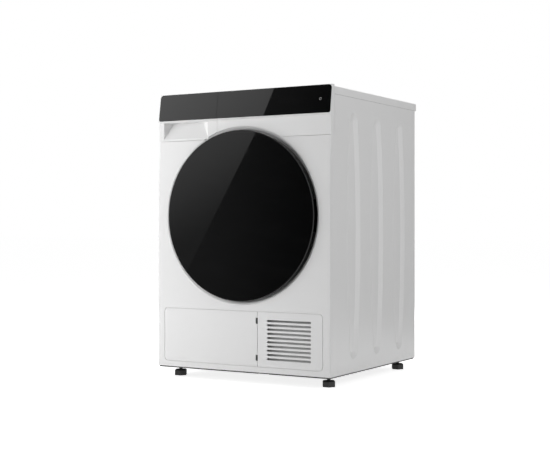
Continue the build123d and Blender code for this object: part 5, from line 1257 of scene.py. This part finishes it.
def reflected_sheet(name, corners, material):
    """A stage sheet that is hidden from all but glossy rays, so that it lights and shades nothing."""
    sheet = stage_sheet(name, corners, material)
    for ray in ("camera", "diffuse", "shadow", "transmission", "volume_scatter"):
        setattr(sheet, "visible_" + ray, False)


def upright_sheet(name, start, end, z_low, z_high, material):
    """An upright reflected sheet over a line on the floor."""
    corners = [(*start, z_low), (*end, z_low), (*end, z_high), (*start, z_high)]
    reflected_sheet(name, corners, material)


def slanted_sheet(name, edge, z_low, z_high, material):
    """A reflected sheet left of an edge through two points, between two heights."""
    first, second = edge
    slope = (first.x - second.x) / (first.z - second.z)
    far_x = first.x - PANEL_WIDTH
    low_x, high_x = (first.x + (z - first.z) * slope for z in (z_low, z_high))
    outline = ((far_x, z_low), (low_x, z_low), (high_x, z_high), (far_x, z_high))
    reflected_sheet(name, [(x, PANEL_Y, z) for x, z in outline], material)


# %% Pale and dark panels
DOOR_PANEL_LOW = -0.3
MEETING_Z = 1.25
FASCIA_PANEL_HIGH = 2.6
DARK_Y = PANEL_Y - 0.05
DARK_LEFT = (-5.0, DARK_Y)
DARK_RIGHT = (-0.4, DARK_Y)
DARK_LOW = -0.4
DARK_HIGH = 3.4
ACROSS = Vector((1, 0, 0))
DOOR_FADE = ACROSS - 1.92 * UP
FASCIA_FADE = ACROSS - 0.885 * UP
DARK_FADE = ACROSS - 0.12 * UP
door_glow = glowing("door_glow", DOOR_FADE, start=-3.285, end=-2.2, first=0.70, last=0.197)
fascia_glow = glowing("fascia_glow", FASCIA_FADE, start=-3.85, end=-2.25, first=1.68, last=0.76)
dark_glow = glowing("dark_glow", DARK_FADE, start=-1.69, end=-0.89, first=0.133, last=0.018)
slanted_sheet("door_panel", DOOR_EDGE, DOOR_PANEL_LOW, MEETING_Z, door_glow)
slanted_sheet("fascia_panel", FASCIA_EDGE, MEETING_Z, FASCIA_PANEL_HIGH, fascia_glow)
upright_sheet("dark_panel", DARK_LEFT, DARK_RIGHT, DARK_LOW, DARK_HIGH, dark_glow)

# %% [markdown]
# ## Flags for the white enamel
# White enamel mirrors a little too, and a studio that is white all round would wash out its shapes.
# Two dark flags prevent that: one stands on the left, and one behind the machine, which the flanks of
# the beads mirror at their far rims.

# %% Dark flags
FLAG_LOW = -0.4
FLAG_HIGH = 3.0
LEFT_FLAG = ((-2.0, -2.3), (-2.0, 4.0))
REAR_FLAG = ((0.42, 1.2), (2.1, 1.2))
left_glow = glowing("left_flag_glow", UP, start=0.0, end=2.0, first=0.03, last=0.06)
rear_glow = glowing("rear_flag_glow", UP, start=0.0, end=2.0, first=0.10, last=0.12)
upright_sheet("left_flag", *LEFT_FLAG, FLAG_LOW, FLAG_HIGH, left_glow)
upright_sheet("rear_flag", *REAR_FLAG, FLAG_LOW, FLAG_HIGH, rear_glow)

# %% [markdown]
# ## Lamps
# One tall soft lamp stands near the left front corner, so the front falls off from left to right as
# it does in the photograph. A second lights the right side from nearly in the plane of the front,
# which brings out the pressed beads, and a weak one straight ahead fills the front. Two more keep the
# worktop and the rear white in other views: they stand behind the planes of the front and the right
# side, so no light of theirs reaches these. All are hidden from reflections, because the panels above
# already are what the glass sees.

# %% Five soft lamps
def soft_lamp(name, place, aim, width, height, watts):
    """A rectangular lamp that points at a spot."""
    data = bpy.data.lights.new(name, "AREA")
    data.shape = "RECTANGLE"
    data.size = width
    data.size_y = height
    data.energy = watts
    lamp = placed(name, data)
    lamp.location = place
    lamp.rotation_euler = (Vector(aim) - Vector(place)).to_track_quat("-Z", "Y").to_euler()
    lamp.visible_glossy = False
    lamp.visible_camera = False
    print(name, "watts", watts)


soft_lamp("key_lamp", (-1.25, -1.15, 0.55), aim=(-0.2, -0.295, 0.50), width=1.4, height=1.8, watts=24.0)
soft_lamp("side_lamp", (2.6, -0.35, 1.6), aim=(0.3, 0.0, 0.45), width=1.0, height=1.0, watts=22.6)
soft_lamp("front_lamp", (-0.4, -3.4, 0.9), aim=(0.0, -0.295, 0.45), width=1.2, height=1.2, watts=8.4)
soft_lamp("top_lamp", (0.0, 0.0, 2.3), aim=(0.0, 0.0, 0.86), width=0.5, height=0.5, watts=7.0)
soft_lamp("rear_lamp", (-0.6, 2.6, 1.3), aim=(0.0, 0.3, 0.45), width=1.2, height=1.2, watts=30.0)
